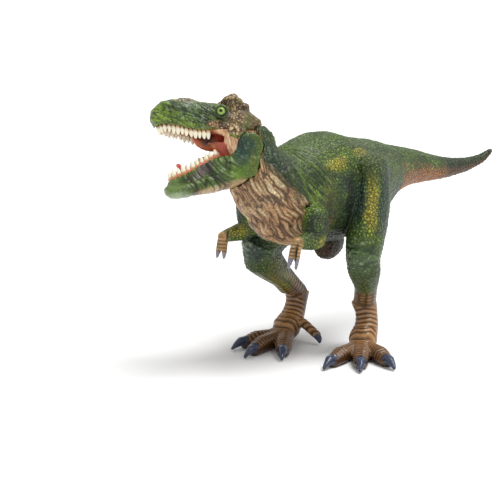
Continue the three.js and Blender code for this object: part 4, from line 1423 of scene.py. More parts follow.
    def leg_wrinkles(self) -> Array:
        """Wrinkles round the knees and rings above the feet.

        Returns:
            How far each point moves.
        """
        p, part, coat = self.shape.points, self.part, self.coat
        total = np.zeros(len(p))
        for (name, line), (knee, top) in zip(LEGS, KNEES):
            run, _, foot = line.measure(p)
            off = p - foot
            around = np.arctan2(off[:, 0], -off[:, 1]) * 8.0
            away = np.linalg.norm((p - np.array(knee)) * np.array([1, 1, 1.2]), axis=1)
            crease = wrinkles(p[:, 2] + 1.5 * noise(p, 6.0, 41), around, 2.2, 9.0, 42)
            weight = part[name] * fade(7.0, 15.0, away)
            total += self.wrinkle * weight * (crease - 0.75)
            coat.brush(Paint.BLUE_GREEN, 0.5 * weight)
            # Painted shade in the knee's creases, partly the toy's wash
            coat.brush(Paint.DARK, 0.8 * weight * (1 - crease))
            # Painted highlight: pale flecks on the crowns of the knee's folds
            painted_highlight = smoothstep(0.9, 1.0, crease) * smoothstep(0.2, 0.5, noise(p, 1.2, 45))
            coat.brush(Paint.MINT, 0.5 * weight * painted_highlight)
            coat.polish(1.0, weight)
            coat.smooth(0.7 * weight)
            ring = ridges((run + 1.2 * noise(p, 5.0, 43)) / 2.2, 0.5)
            cuff = part[name] * fade(top - 3, top + 5, p[:, 2])
            column = ridges(around / 5.0 + 0.15 * noise(p, 4.0, 44), 0.3)
            total += self.cuff * cuff * (ring * column - 0.7)
            coat.lay(
                (Paint.BROWN, 0.3 * cuff),
                # Ring grooves darker and crowns paler: partly the toy's wash, partly painted shade
                # and painted highlight
                (Paint.DARK_BROWN, 0.85 * cuff * (1 - ring * column)),
                (Paint.TAN, 0.4 * cuff * (ring * column) ** 5),
            )
            coat.smooth(cuff)
            coat.polish(0.6, cuff)
        return total

    def feet(self) -> Array:
        """Scutes across the feet and toes, dark toes and glossy claws.

        Returns:
            How far each point moves.
        """
        p, n, coat = self.shape.points, self.normals, self.coat
        total = np.zeros(len(p))
        for name, toes, line, spur in FEET:
            own = self.part[name]
            run_up, away_up, _ = Limb(line.joints[-3:]).measure(p)
            best, run = away_up + 2.0, run_up
            claw = np.full(len(p), FAR)
            tip = np.zeros(len(p))
            for toe in toes:
                r, a, _ = toe.line().measure(p)
                closer = a < best
                best = np.where(closer, a, best)
                run = np.where(closer, r, run)
                tip = np.where(closer, r / toe.length, tip)
                behind = 8 * fade(0.9, 0.97, r / toe.length)
                claw = np.minimum(claw, toe.claw().measure(p)[1] + behind)
            wave = 0.6 * noise(p, 6.0, 51)
            ring = ridges((run + wave) / 2.3, 0.55)
            top = smoothstep(-0.1, 0.35, n[:, 2] - 0.5 * n[:, 1])
            flesh = own * top
            total += self.scute * flesh * (ring - 0.7)
            stain_and_throat_shade = smoothstep(-0.3, 0.4, noise(p, 7.0, 52))
            coat.lay(
                (Paint.BROWN, own * (0.45 + 0.35 * stain_and_throat_shade)),
                (Paint.BROWN, own * 0.9 * smoothstep(0.1, 0.45, tip)),
                (Paint.DARK_BROWN, own * 0.3 * smoothstep(0.3, 0.8, tip)),
                # Painted shade on the faces that turn down and back
                (Paint.DARK_BROWN, own * 0.6 * (1 - top)),
            )
            coat.polish(0.6, own)
            # Scute grooves darker and crests paler: partly the toy's wash, partly painted shade and
            # painted highlight
            coat.brush(Paint.DARK_BROWN, flesh * (1 - ring) * 1.1)
            coat.brush(Paint.TAN, flesh * ring**5 * 0.55 * (1 - 0.6 * tip))
            nail = own * fade(2.6, 3.2, claw)
            reach, off, _ = spur.measure(p)
            tipward = fade(3.8, 4.6, sum(spur.spans()) - reach)
            nail = np.maximum(nail, own * tipward * fade(3.0, 4.0, off))
            coat.brush(Paint.SLATE, nail)
            coat.polish(1.0, nail)
            coat.smooth(np.clip(own, 0, 1))
        return total

    def hands(self) -> Array:
        """Banded fingers with claws.

        Returns:
            How far each point moves.
        """
        p, coat = self.shape.points, self.coat
        total = np.zeros(len(p))
        for name, arm in ARMS:
            run = arm.measure(p)[0]
            wrist = sum(arm.spans()[:2])
            own = self.part[name] * smoothstep(wrist - 3, wrist + 1, run)
            ring = ridges((run + 0.3 * noise(p, 3.0, 61)) / 1.7, 0.6)
            total += self.band * own * (ring - 0.7)
            coat.lay(
                (Paint.OCHRE, 0.9 * own),
                (Paint.BROWN, 0.6 * own * smoothstep(-0.3, 0.4, noise(p, 4.0, 62))),
                # Band crowns paler and grooves darker: partly the toy's wash, partly painted
                # highlight and painted shade
                (Paint.PALE_TAN, 0.45 * own * ring**4),
                (Paint.DARK_BROWN, 0.85 * own * (1 - ring)),
            )
            nail = self.part[name] * smoothstep(wrist + 7.5, wrist + 8.3, run)
            coat.brush(Paint.LAVENDER, nail)
            coat.polish(1.0, nail)
            coat.smooth(np.clip(own + nail, 0, 1))
        return total

    def pieces(self, material: bpy.types.Material) -> list[Piece]:
        """Splits the skin by solid into closed pieces that share their edges.

        Args:
            material: The skin's material.

        Returns:
            One piece for each solid.
        """
        normals = self.shape.normals()
        faces = np.concatenate([self.shape.faces[:, [0, 1, 2]], self.shape.faces[:, [0, 2, 3]]])
        votes = self.label[faces]
        owner = np.where(votes[:, 1] == votes[:, 2], votes[:, 1], votes[:, 0])
        made = []
        for number, name in enumerate(HIDE_NODES):
            own = faces[owner == number]
            used = np.unique(own)
            index = np.full(len(self.shape.points), -1)
            index[used] = np.arange(len(used))
            own = index[own]
            shape, extra = capped(Shape(self.shape.points[used], own))
            part = Coat(len(shape.points), Paint.GREEN)
            for key in ("colour", "scaly", "gloss"):
                values = getattr(self.coat, key)[used]
                setattr(part, key, np.concatenate([values, values[extra]]))
            shading = np.concatenate([normals[used], normals[used][extra]])
            made.append(Piece(
                name=name + "_skin", shape=shape, coat=part, material=material,
                body=Body.FIGURE, replaces=(name,), slot=HIDE_SLOTS[name], normals=shading,
            ))
        return made


def capped(shape: Shape) -> tuple[Shape, Array]:
    """Closes each open rim of a triangle mesh with a fan about its middle.

    Args:
        shape: An open mesh of triangles.

    Returns:
        The closed mesh, and for each added point the corner that lends it its paint.
    """
    count = len(shape.points)
    sides = [shape.faces[:, [i, (i + 1) % 3]] for i in range(3)]
    pairs = np.concatenate(sides).astype(np.int64)
    code, back = pairs[:, 0] * count + pairs[:, 1], pairs[:, 1] * count + pairs[:, 0]
    rim = pairs[~np.isin(code, back)]
    label = np.arange(count)
    while len(rim):
        low = np.minimum(label[rim[:, 0]], label[rim[:, 1]])
        new = label.copy()
        np.minimum.at(new, rim[:, 0], low)
        np.minimum.at(new, rim[:, 1], low)
        if (new == label).all():
            break
        label = new
    centres, fans, lenders = [], [], []
    for group in np.unique(label[rim[:, 0]]) if len(rim) else []:
        loop = rim[label[rim[:, 0]] == group]
        fans.append(np.stack([loop[:, 1], loop[:, 0], np.full(len(loop), count + len(centres))], 1))
        centres.append(shape.points[loop[:, 0]].mean(0))
        lenders.append(loop[0, 0])
    if not centres:
        return shape, np.zeros(0, int)
    faces = np.concatenate([shape.faces, *fans])
    return Shape(np.concatenate([shape.points, centres]), faces), np.array(lenders)


HEAD_PATCHES = (
    Dab("snout lime", (163, 110), (9, 12), Paint.LEAF, 0.8, 20),
    Dab("lip lime", (180, 122), (18, 4), Paint.LIME, 0.6, 12),
    Dab("snout roof", (188, 105), (36, 8), None, 0.0, 0, 1.2),
    Dab("snout front", (156, 112), (8, 14), Paint.LIME, 0.45),
    # Painted shade: black in the nostril's pit
    Dab("nostril", (155, 107), (2.4, 1.8), Paint.BLACK, 0.9, 0, -0.8),
    Dab("snout side", (190, 117), (20, 7), Paint.LEAF, 0.5, 8),
    Dab("snout grey", (190, 108), (17, 7), Paint.BLUE_GREEN, 0.55, 5),
    Dab("snout line", (192, 118), (24, 3), Paint.BLUE_GREEN, 0.5, 4),
    Dab("cheek grey", (200, 116), (10, 5), Paint.BLUE_GREEN, 0.45, 10),
    Dab("nasal ridge", (186, 102), (15, 2), Paint.CREAM, 0.75, 6, 0.5),
    Dab("before eye", (208, 110), (7, 8), Paint.DARK, 0.75, 0, -0.5),
    Dab("under eye", (214, 121), (12, 4), Paint.GREEN, 0.5),
    Dab("brow fore", (218, 102), (7, 4), Paint.BROWN, 0.8, -10, 0.9),
    Dab("brow horn", (226, 100), (12, 6), Paint.BONE, 0.95, -20, 0.5),
    Dab("brow peak", (233, 97), (5, 5), Paint.PALE_TAN, 0.9, 0, 0.9),
    Dab("rear knob", (245, 106), (5, 6), Paint.BONE, 0.95, 0, 0.8),
    Dab("rear skull", (237, 113), (12, 18), Paint.BONE, 1.0, 0, 0.3),
    Dab("temple", (232, 108), (5, 7), None, 0.0, 0, -0.9),
    Dab("cheek bar", (223, 126), (18, 6), Paint.BONE, 1.0, 8, 0.7),
    Dab("cheek hollow", (229, 120), (9, 3), None, 0.0, 20, -0.7),
    Dab("cheek boss", (237, 130), (8, 6), Paint.PALE_TAN, 0.9, 0, 0.5),
    Dab("cheek front", (212, 124), (7, 3), Paint.TAN, 0.6, 20, 0.2),
    Dab("eye ground", (221.5, 111), (10, 9.5), Paint.DARK, 0.95),
    Dab("lip dark", (190, 129), (22, 2), Paint.DARK, 0.6, 4),
)
JAW_PATCHES = (
    Dab("ramus teal", (244, 150), (12, 22), Paint.BLUE_GREEN, 1.0),
    Dab("ramus shade", (240, 142), (7, 12), Paint.BLUE_BLACK, 0.45),
    Dab("ramus rear", (253, 166), (4, 18), Paint.OLIVE, 0.5, -10),
    Dab("ramus green", (250, 168), (8, 14), Paint.GREEN, 0.7, -10),
    Dab("jaw side", (222, 172), (12, 12), Paint.SAGE, 0.75, -25),
    Dab("jaw leaf", (232, 178), (18, 8), Paint.LEAF, 0.6, -30),
    Dab("trough", (202, 171), (17, 6), Paint.PURPLE_GREY, 0.95, -36, -0.8),
    Dab("chin", (174, 188), (13, 11), Paint.SAGE, 0.8, 0, 0.3),
    Dab("chin shade", (186, 181), (10, 4), Paint.DARK, 0.6, -35, -0.3),
    Dab("chin under", (180, 197), (14, 5), Paint.MINT, 0.8),
    Dab("under tan", (228, 187), (30, 6), Paint.PALE_TAN, 1.0, -14),
    Dab("under cream", (206, 192), (13, 3), Paint.TAN, 0.9, -8),
)
# Painted shade, dark red, in the throat's hollow and at the palate's rear, and painted light,
# salmon, on the hollow's rim; the wall's orange is its own colour
MOUTH_PATCHES = (
    Dab("throat wall", (205, 146), (14, 14), Paint.ORANGE, 0.6),
    Dab("palate rear shade", (206, 136), (14, 5), Paint.MAROON, 1.0),
    Dab("throat hollow shade", (208, 141), (9, 6), Paint.MAROON, 0.95),
    Dab("throat rim light", (193, 147), (3, 10), Paint.SALMON, 0.8),
)
BONE_PAINTS = (Paint.BONE, Paint.TAN, Paint.PALE_TAN, Paint.CREAM)
EYE_PIXEL = (221.8, 111.2)
EYE_RADIUS = 2.35
EYE_SINK = 1.0


def knobs(points: Array, size: float, seed: int) -> Array:
    """Rough knobs with pits between them.

    Args:
        points: Places in millimetres.
        size: Width of a knob.
        seed: Which pattern to take.

    Returns:
        Heights from 0 to 1.
    """
    drift = np.stack([noise(points, 2.0, seed + k) for k in range(3)], 1)
    coarse = pebbles(points + 0.5 * drift, size, seed)
    return 0.6 * coarse + 0.4 * pebbles(points, size * 0.5, seed + 7)


@dataclass
class Skull:
    """The upper head with its brows, lids and cheeks, in millimetres.

    Attributes:
        growth: How far the skin lies outside the solid.
        pitch: Width of the skin's squares.
        rounds: How many times the skin is evened out.
        knob: Height of the knobs on brow and cheek.
        crease: Depth of the snout's creases.
        grain: Height of the fine scales.
        lid: Height of the rings round the eye.
        socket: Depth of the eye's socket.
    """

    growth: float = 0.12
    pitch: float = 0.36
    rounds: int = 36
    knob: float = 0.45
    crease: float = 0.3
    grain: float = 0.14
    lid: float = 0.6
    socket: float = 1.2

    def __post_init__(self) -> None:
        """Skins, sculpts and paints the head."""
        solid = Shape.of_node("skull")
        self.shape = solid.grown(self.growth).voxelled(self.pitch).relaxed(self.rounds)
        canvas = Canvas(self.shape, HEAD.flipped)
        self.eye = canvas.place(EYE_PIXEL)
        self.coat = Coat(len(self.shape.points), Paint.GREEN)
        self.sculpt(canvas)

    def sculpt(self, canvas: Canvas) -> None:
        """Raises the brows and lids, and paints the head.

        Args:
            canvas: The head's skin, ready for patches.
        """
        p, coat = self.shape.points, self.coat
        local = HEAD.local(p)
        coat.brush(Paint.LEAF, 0.7 * smoothstep(-0.4, 0.3, rough(p, 7.0, 71)))
        coat.brush(Paint.DARK, 0.3 * smoothstep(0.1, 0.6, rough(p, 6.0, 72)))
        canvas.brush(coat, HEAD_PATCHES)
        offset = canvas.relief(HEAD_PATCHES)
        bone = sum(canvas.weight(dab) for dab in HEAD_PATCHES if dab.paint in BONE_PAINTS)
        rear = smoothstep(-4.0, 2.0, local[:, 1])
        bone = np.clip(bone + rear * 0.9, 0, 1)
        knob = knobs(p, 1.4, 73)
        offset += self.knob * bone * (knob - 0.6)
        coat.lay(
            (Paint.BONE, 0.6 * rear),
            (Paint.BROWN, 0.75 * bone * smoothstep(-0.4, 0.4, rough(p, 4.0, 78))),
            (Paint.DARK, 0.5 * bone * smoothstep(-0.1, 0.5, rough(p, 3.0, 96))),
            # Painted shade, with the toy's wash, in the pits between the knobs
            (Paint.DARK_BROWN, 0.95 * bone * fade(0.3, 0.8, knob)),
        )
        # Painted highlight: cream on the crowns of the knobs
        painted_highlight = smoothstep(0.88, 1.0, knob) * smoothstep(-0.1, 0.4, noise(p, 2.0, 79))
        coat.brush(Paint.CREAM, 0.8 * bone * painted_highlight)
        skin = 1 - bone
        crease = wrinkles(local[:, 2] + 0.5 * local[:, 1], local[:, 1], 1.5, 7.0, 74)
        offset += self.crease * skin * (crease - 0.75)
        # Painted shade in the snout's creases, partly the toy's wash
        coat.brush(Paint.DARK, 0.95 * skin * (1 - crease))
        grain = pebbles(p, 1.2, 75)
        offset += self.grain * skin * (grain - 0.6)
        # Brightens the head, and darkens the creases between its scales as painted shade
        coat.shade(1.15 - 0.3 * (1 - grain) * skin)
        # Painted highlight: lime on the crowns of the scales
        coat.brush(Paint.LIME, 0.5 * skin * grain**4 * smoothstep(0.0, 0.6, noise(p, 4.0, 95)))
        coat.brush(Paint.MINT, 0.3 * skin * smoothstep(0.2, 0.7, noise(p, 1.2, 76)))
        for middle in (self.eye, HEAD.flipped(self.eye[None])[0]):
            away = np.linalg.norm(p - middle, axis=1)
            lid = np.exp(-(((away - 3.0) / 0.7) ** 2))
            ring = ridges((away + 0.4 * noise(p, 3.0, 77)) / 1.4, 0.5)
            near = fade(4.5, 7.0, away)
            offset += self.lid * (lid + 0.5 * near * (ring - 0.6))
            offset -= self.socket * fade(1.5, 2.6, away)
            coat.lay(
                # Painted shade in the grooves between the rings round the eye, partly the toy's
                # wash
                (Paint.DARK, 0.8 * near * (1 - ring)),
                (Paint.GREEN, 0.6 * lid),
                (Paint.DARK, 0.95 * fade(2.3, 2.8, away)),
            )
        self.shape = self.shape.embossed(offset)
        coat.polish(0.7, 0.6 * skin)
        coat.scaly = 0.35 * (1 - bone)


@dataclass
class LowerJaw:
    """The lower jaw's skin, in millimetres.

    Attributes:
        growth: How far the skin lies outside the solid.
        pitch: Width of the skin's squares.
        rounds: How many times the skin is evened out.
        fold: Depth of the cheek's folds.
        grain: Height of the fine scales.
        corner: Middle of the folds' rings, back and up in the head's frame.
    """

    growth: float = 0.1
    pitch: float = 0.38
    rounds: int = 30
    fold: float = 0.5
    grain: float = 0.12
    corner: tuple[float, float] = (4.0, 2.0)

    def __post_init__(self) -> None:
        """Skins, sculpts and paints the jaw."""
        solid = Shape.of_node("lower_jaw")
        self.shape = solid.grown(self.growth).voxelled(self.pitch).relaxed(self.rounds)
        p = self.shape.points
        local = HEAD.local(p)
        self.coat = coat = Coat(len(p), Paint.GREEN)
        coat.brush(Paint.DARK, 0.3 * smoothstep(0.0, 0.6, rough(p, 6.0, 81)))
        coat.brush(Paint.LEAF, 0.5 * smoothstep(0.0, 0.6, rough(p, 7.0, 82)))
        Canvas(self.shape, HEAD.flipped).brush(coat, JAW_PATCHES)
        inner = smoothstep(0.2, 0.6, HEAD.inward(local, self.shape.normals()))
        outer = 1 - inner
        cheek = outer * smoothstep(-36.0, -24.0, local[:, 1])
        cheek *= 1 - 0.75 * smoothstep(-12.0, -5.0, local[:, 1])
        fold = self.folds(p, local)
        # Painted shade in the cheek's creases, partly the toy's wash
        coat.brush(Paint.BLACK, 0.9 * cheek * (1 - fold))
        # Painted highlight: pale flecks on the crowns of the cheek's folds
        painted_highlight = smoothstep(0.85, 1.0, fold) * smoothstep(0.0, 0.5, noise(p, 2.0, 87))
        coat.brush(Paint.MINT, 0.6 * cheek * painted_highlight)
        grain = pebbles(p, 1.3, 84)
        # Painted shade in the creases between the scales
        coat.shade(1 - 0.25 * (1 - grain) * outer)
        coat.brush(Paint.PINK, 0.95 * inner)
        coat.brush(Paint.MAROON, 0.4 * inner * smoothstep(-0.1, 0.5, noise(p, 4.0, 85)))
        coat.scaly = 0.2 * outer
        coat.polish(0.8, inner)
        offset = self.fold * cheek * (fold - 0.75) + self.grain * outer * (grain - 0.6)
        self.shape = self.shape.embossed(offset)

    def folds(self, points: Array, local: Array) -> Array:
        """Folds that ring the corner of the mouth.

        Args:
            points: The skin's points.
            local: The same in the head's frame.

        Returns:
            Heights: 0 in a crease and 1 on a fold.
        """
        away = local[:, 1:] - np.array(self.corner)
        radius, turn = np.linalg.norm(away, axis=1), np.arctan2(away[:, 1], -away[:, 0])
        return wrinkles(radius + 1.2 * noise(points, 6.0, 83), turn * 20.0, 2.0, 10.0, 86)


# Middle and reach of each lump of the throat, in the head's frame
THROAT = (
    ((-3.6, -15.0, 1.0), (1.6, 10.0, 5.6)),
    ((-1.0, -5.0, -1.0), (6.5, 4.0, 7.0)),
    ((-2.5, -7.0, -7.0), (4.5, 5.5, 3.0)),
)


def tube_faces(rings: int, sides: int) -> Array:
    """Lists the faces of a closed tube whose rings run from its start and whose two tips come last.

    Args:
        rings: How many rings there are.
        sides: Corners in each ring.

    Returns:
        The faces, in rows of three.
    """
    faces = []
    first, last = rings * sides, rings * sides + 1
    for k in range(sides):
        after = (k + 1) % sides
        for a, b in ((i * sides + k, i * sides + after) for i in range(rings - 1)):
            faces += [(a, b, b + sides), (a, b + sides, a + sides)]
        faces += [(first, after, k), (last, first - sides + k, first - sides + after)]
    return np.array(faces)


def unit_ball(rows: int, columns: int) -> Shape:
    """A closed ball of radius 1 about the origin, with its poles on z.

    Args:
        rows: Bands from pole to pole.
        columns: Corners in each ring.

    Returns:
        The ball.
    """
    down = math.pi * np.arange(rows - 1, 0, -1)[:, None] / rows
    turn = 2 * math.pi * np.arange(columns) / columns
    places = (np.sin(down) * np.cos(turn), np.sin(down) * np.sin(turn), np.cos(down) + 0 * turn)
    points = np.concatenate([np.stack(places, 2).reshape(-1, 3), [(0, 0, -1), (0, 0, 1)]])
    return Shape(points, tube_faces(rows - 1, columns))


def blob(head: HeadFrame, middle: Triple, radii: Triple, rows: int = 14) -> Shape:
    """A closed lump set in the head.

    Args:
        head: The head's frame.
        middle: The lump's middle, in the head's frame.
        radii: Its reach along the head's axes.
        rows: Bands from pole to pole.

    Returns:
        The lump.
    """
    ball = unit_ball(rows, 2 * rows)
    return Shape(head.world(ball.points * np.array(radii) + np.array(middle)), ball.faces)


@dataclass
class Mouth:
    """Palate, throat, cheek skin and tongue, in millimetres.

    Attributes:
        growth: How far the lining lies outside its solid.
        pitch: Width of the lining's squares.
        rounds: How many times the lining is evened out before and after it is drawn back.
        fold: Depth of the cheek skin's folds.
        rib: Depth of the palate's ribs.
        tongue_growth: How far the tongue lies outside its solid.
        tongue_pitch: Width of the tongue's squares.
        tongue_rounds: How many times the tongue is evened out.
        tip_lift: How far the tongue's tip curls up.
        groove: Depth of the tongue's groove.
    """

    growth: float = 0.05
    pitch: float = 0.4
    rounds: tuple[int, int] = (16, 8)
    fold: float = 0.3
    rib: float = 0.25
    tongue_growth: float = 0.15
    tongue_pitch: float = 0.3
    tongue_rounds: int = 24
    tip_lift: float = 2.4
    groove: float = 0.4

    def __post_init__(self) -> None:
        """Builds the lining and the tongue."""
        self.build_lining()
        self.build_tongue()

    def build_lining(self) -> None:
        """Skins, sculpts and paints the lining with the throat."""
        flesh = [blob(HEAD, middle, radii) for middle, radii in THROAT]
        solid = Shape.of_node("mouth_lining").grown(self.growth)
        skin = Shape.joined([solid, *flesh]).voxelled(self.pitch).relaxed(self.rounds[0])
        x, y, z = HEAD.local(skin.points).T
        near = smoothstep(0.5, 2.5, x) * fade(2.0, 4.5, z)
        back = 0.5 * np.maximum(-4 - y, 0) * near
        skin = Shape(skin.points + back[:, None] * HEAD.matrix()[:, 1], skin.faces)
        self.lining = skin.relaxed(self.rounds[1])
        p, n = self.lining.points, self.lining.normals()
        local = HEAD.local(p)
        x, y, z = local.T
        self.paint = coat = Coat(len(p), Paint.SALMON)
        palate = smoothstep(0.3, 0.7, -n @ HEAD.matrix()[:, 2]) * smoothstep(-12, -18, y)
        inner = smoothstep(0.1, 0.5, HEAD.inward(local, n))
        wall = inner * (1 - palate)
        middle = fade(3.0, 4.5, x) * (1 - palate)
        fold = wrinkles(y + 0.25 * z, z, 1.0, 9.0, 91)
        ribs = ridges((y + 0.3 * noise(p, 4.0, 92)) / 2.4, 0.7)
        deep = smoothstep(-21.0, -15.0, y - 0.5 * x) * smoothstep(-7.0, -2.0, z)
        stain_and_throat_shade = smoothstep(-0.2, 0.6, noise(p, 3.0, 94)) * smoothstep(-12.0, -6.0, y)
        coat.lay(
            (Paint.ORANGE, 0.85 * palate),
            # Painted shade in the grooves between the palate's ribs, partly the toy's wash
            (Paint.BROWN, 0.7 * palate * (1 - ribs)),
            (Paint.ORANGE, 0.9 * wall),
            (Paint.CORAL, 0.75 * wall * smoothstep(-1.0, -6.0, z)),
            # Painted shade: the throat's walls turn dark red towards the back
            (Paint.MAROON, 0.95 * wall * deep),
            (Paint.CORAL, 0.85 * middle),
            (Paint.SALMON, 0.35 * middle * smoothstep(0.4, 0.9, fold)),
            # Painted shade at the back of the throat's middle, in dark red patches
            (Paint.MAROON, 0.8 * middle * stain_and_throat_shade),
        )
        canvas = Canvas(self.lining, HEAD.flipped)
        # Lays the throat's painted shade and light, and its wall's own orange
        for dab in MOUTH_PATCHES:
            coat.brush(dab.paint, dab.cover * canvas.weight(dab) * middle)
        skin = (1 - palate) * (1 - inner) * (1 - middle)
        coat.lay(
            (Paint.PALE_TAN, 0.6 * skin),
            # Fold creases darker and crowns paler: partly the toy's wash, partly painted shade and
            # painted highlight
            (Paint.BROWN, 0.35 * skin * (1 - fold)),
            (Paint.CREAM, 0.7 * skin * smoothstep(0.7, 1.0, fold)),
        )
        coat.shade(1 + 0.55 * skin)
        offset = self.fold * skin * (fold - 0.7) + self.rib * palate * (ribs - 0.7)
        self.lining = self.lining.embossed(offset)

    def build_tongue(self) -> None:
        """Skins, sculpts and paints the tongue."""
        tongue = Shape.of_node("tongue").grown(self.tongue_growth)
        tongue = tongue.voxelled(self.tongue_pitch).relaxed(self.tongue_rounds)
        x, y, z = HEAD.local(tongue.points).T
        up = HEAD.matrix()[:, 2]
        tip = smoothstep(-18.0, -28.0, y) * smoothstep(-19.5, -16.0, z - 0.35 * (y + 28.0))
        tongue = Shape(tongue.points + (self.tip_lift * tip)[:, None] * up, tongue.faces)
        groove = np.exp(-((x / 0.7) ** 2)) * smoothstep(0.3, 0.8, tongue.normals() @ up)
        self.tongue_paint = Coat(len(x), Paint.CORAL)
        # Darker red down the tongue's groove: partly its own colour, partly painted shade
        self.tongue_paint.brush(Paint.MAROON, 0.6 * groove)
        stain_and_throat_shade = smoothstep(0.0, 0.6, noise(tongue.points, 2.0, 93))
        self.tongue_paint.brush(Paint.PINK, 0.3 * stain_and_throat_shade)
        self.tongue = tongue.moved(-self.groove * groove)


@dataclass(frozen=True)
class Eye:
    """A painted eye.

    Attributes:
        centre: Its middle.
        gaze: The direction it looks in.
        radius: Its radius.
    """

    centre: Array
    gaze: Array
    radius: float = EYE_RADIUS

    def build(self, name: str, material: bpy.types.Material) -> Piece:
        """Makes the painted ball.

        Args:
            name: The piece's name.
            material: Its material.

        Returns:
            The piece.
        """
        ball = unit_ball(40, 56)
        local = ball.points
        turn = Vector(self.gaze).to_track_quat("Z", "Y").to_matrix()
        coat = Coat(len(local), Paint.DARK)
        tilt = np.degrees(np.arccos(np.clip(local[:, 2], -1, 1)))
        coat.lay(
            (Paint.LEAF, fade(50, 58, tilt)),
            (Paint.LIME, 0.75 * fade(36, 44, tilt)),
            (Paint.BLACK, fade(19, 25, tilt)),
        )
        coat.polish(1.0, np.ones(len(local)))
        place = local @ np.array(turn).T * self.radius + self.centre
        return Piece(name, Shape(place, ball.faces), coat, material, Body.FIGURE, (), "head")


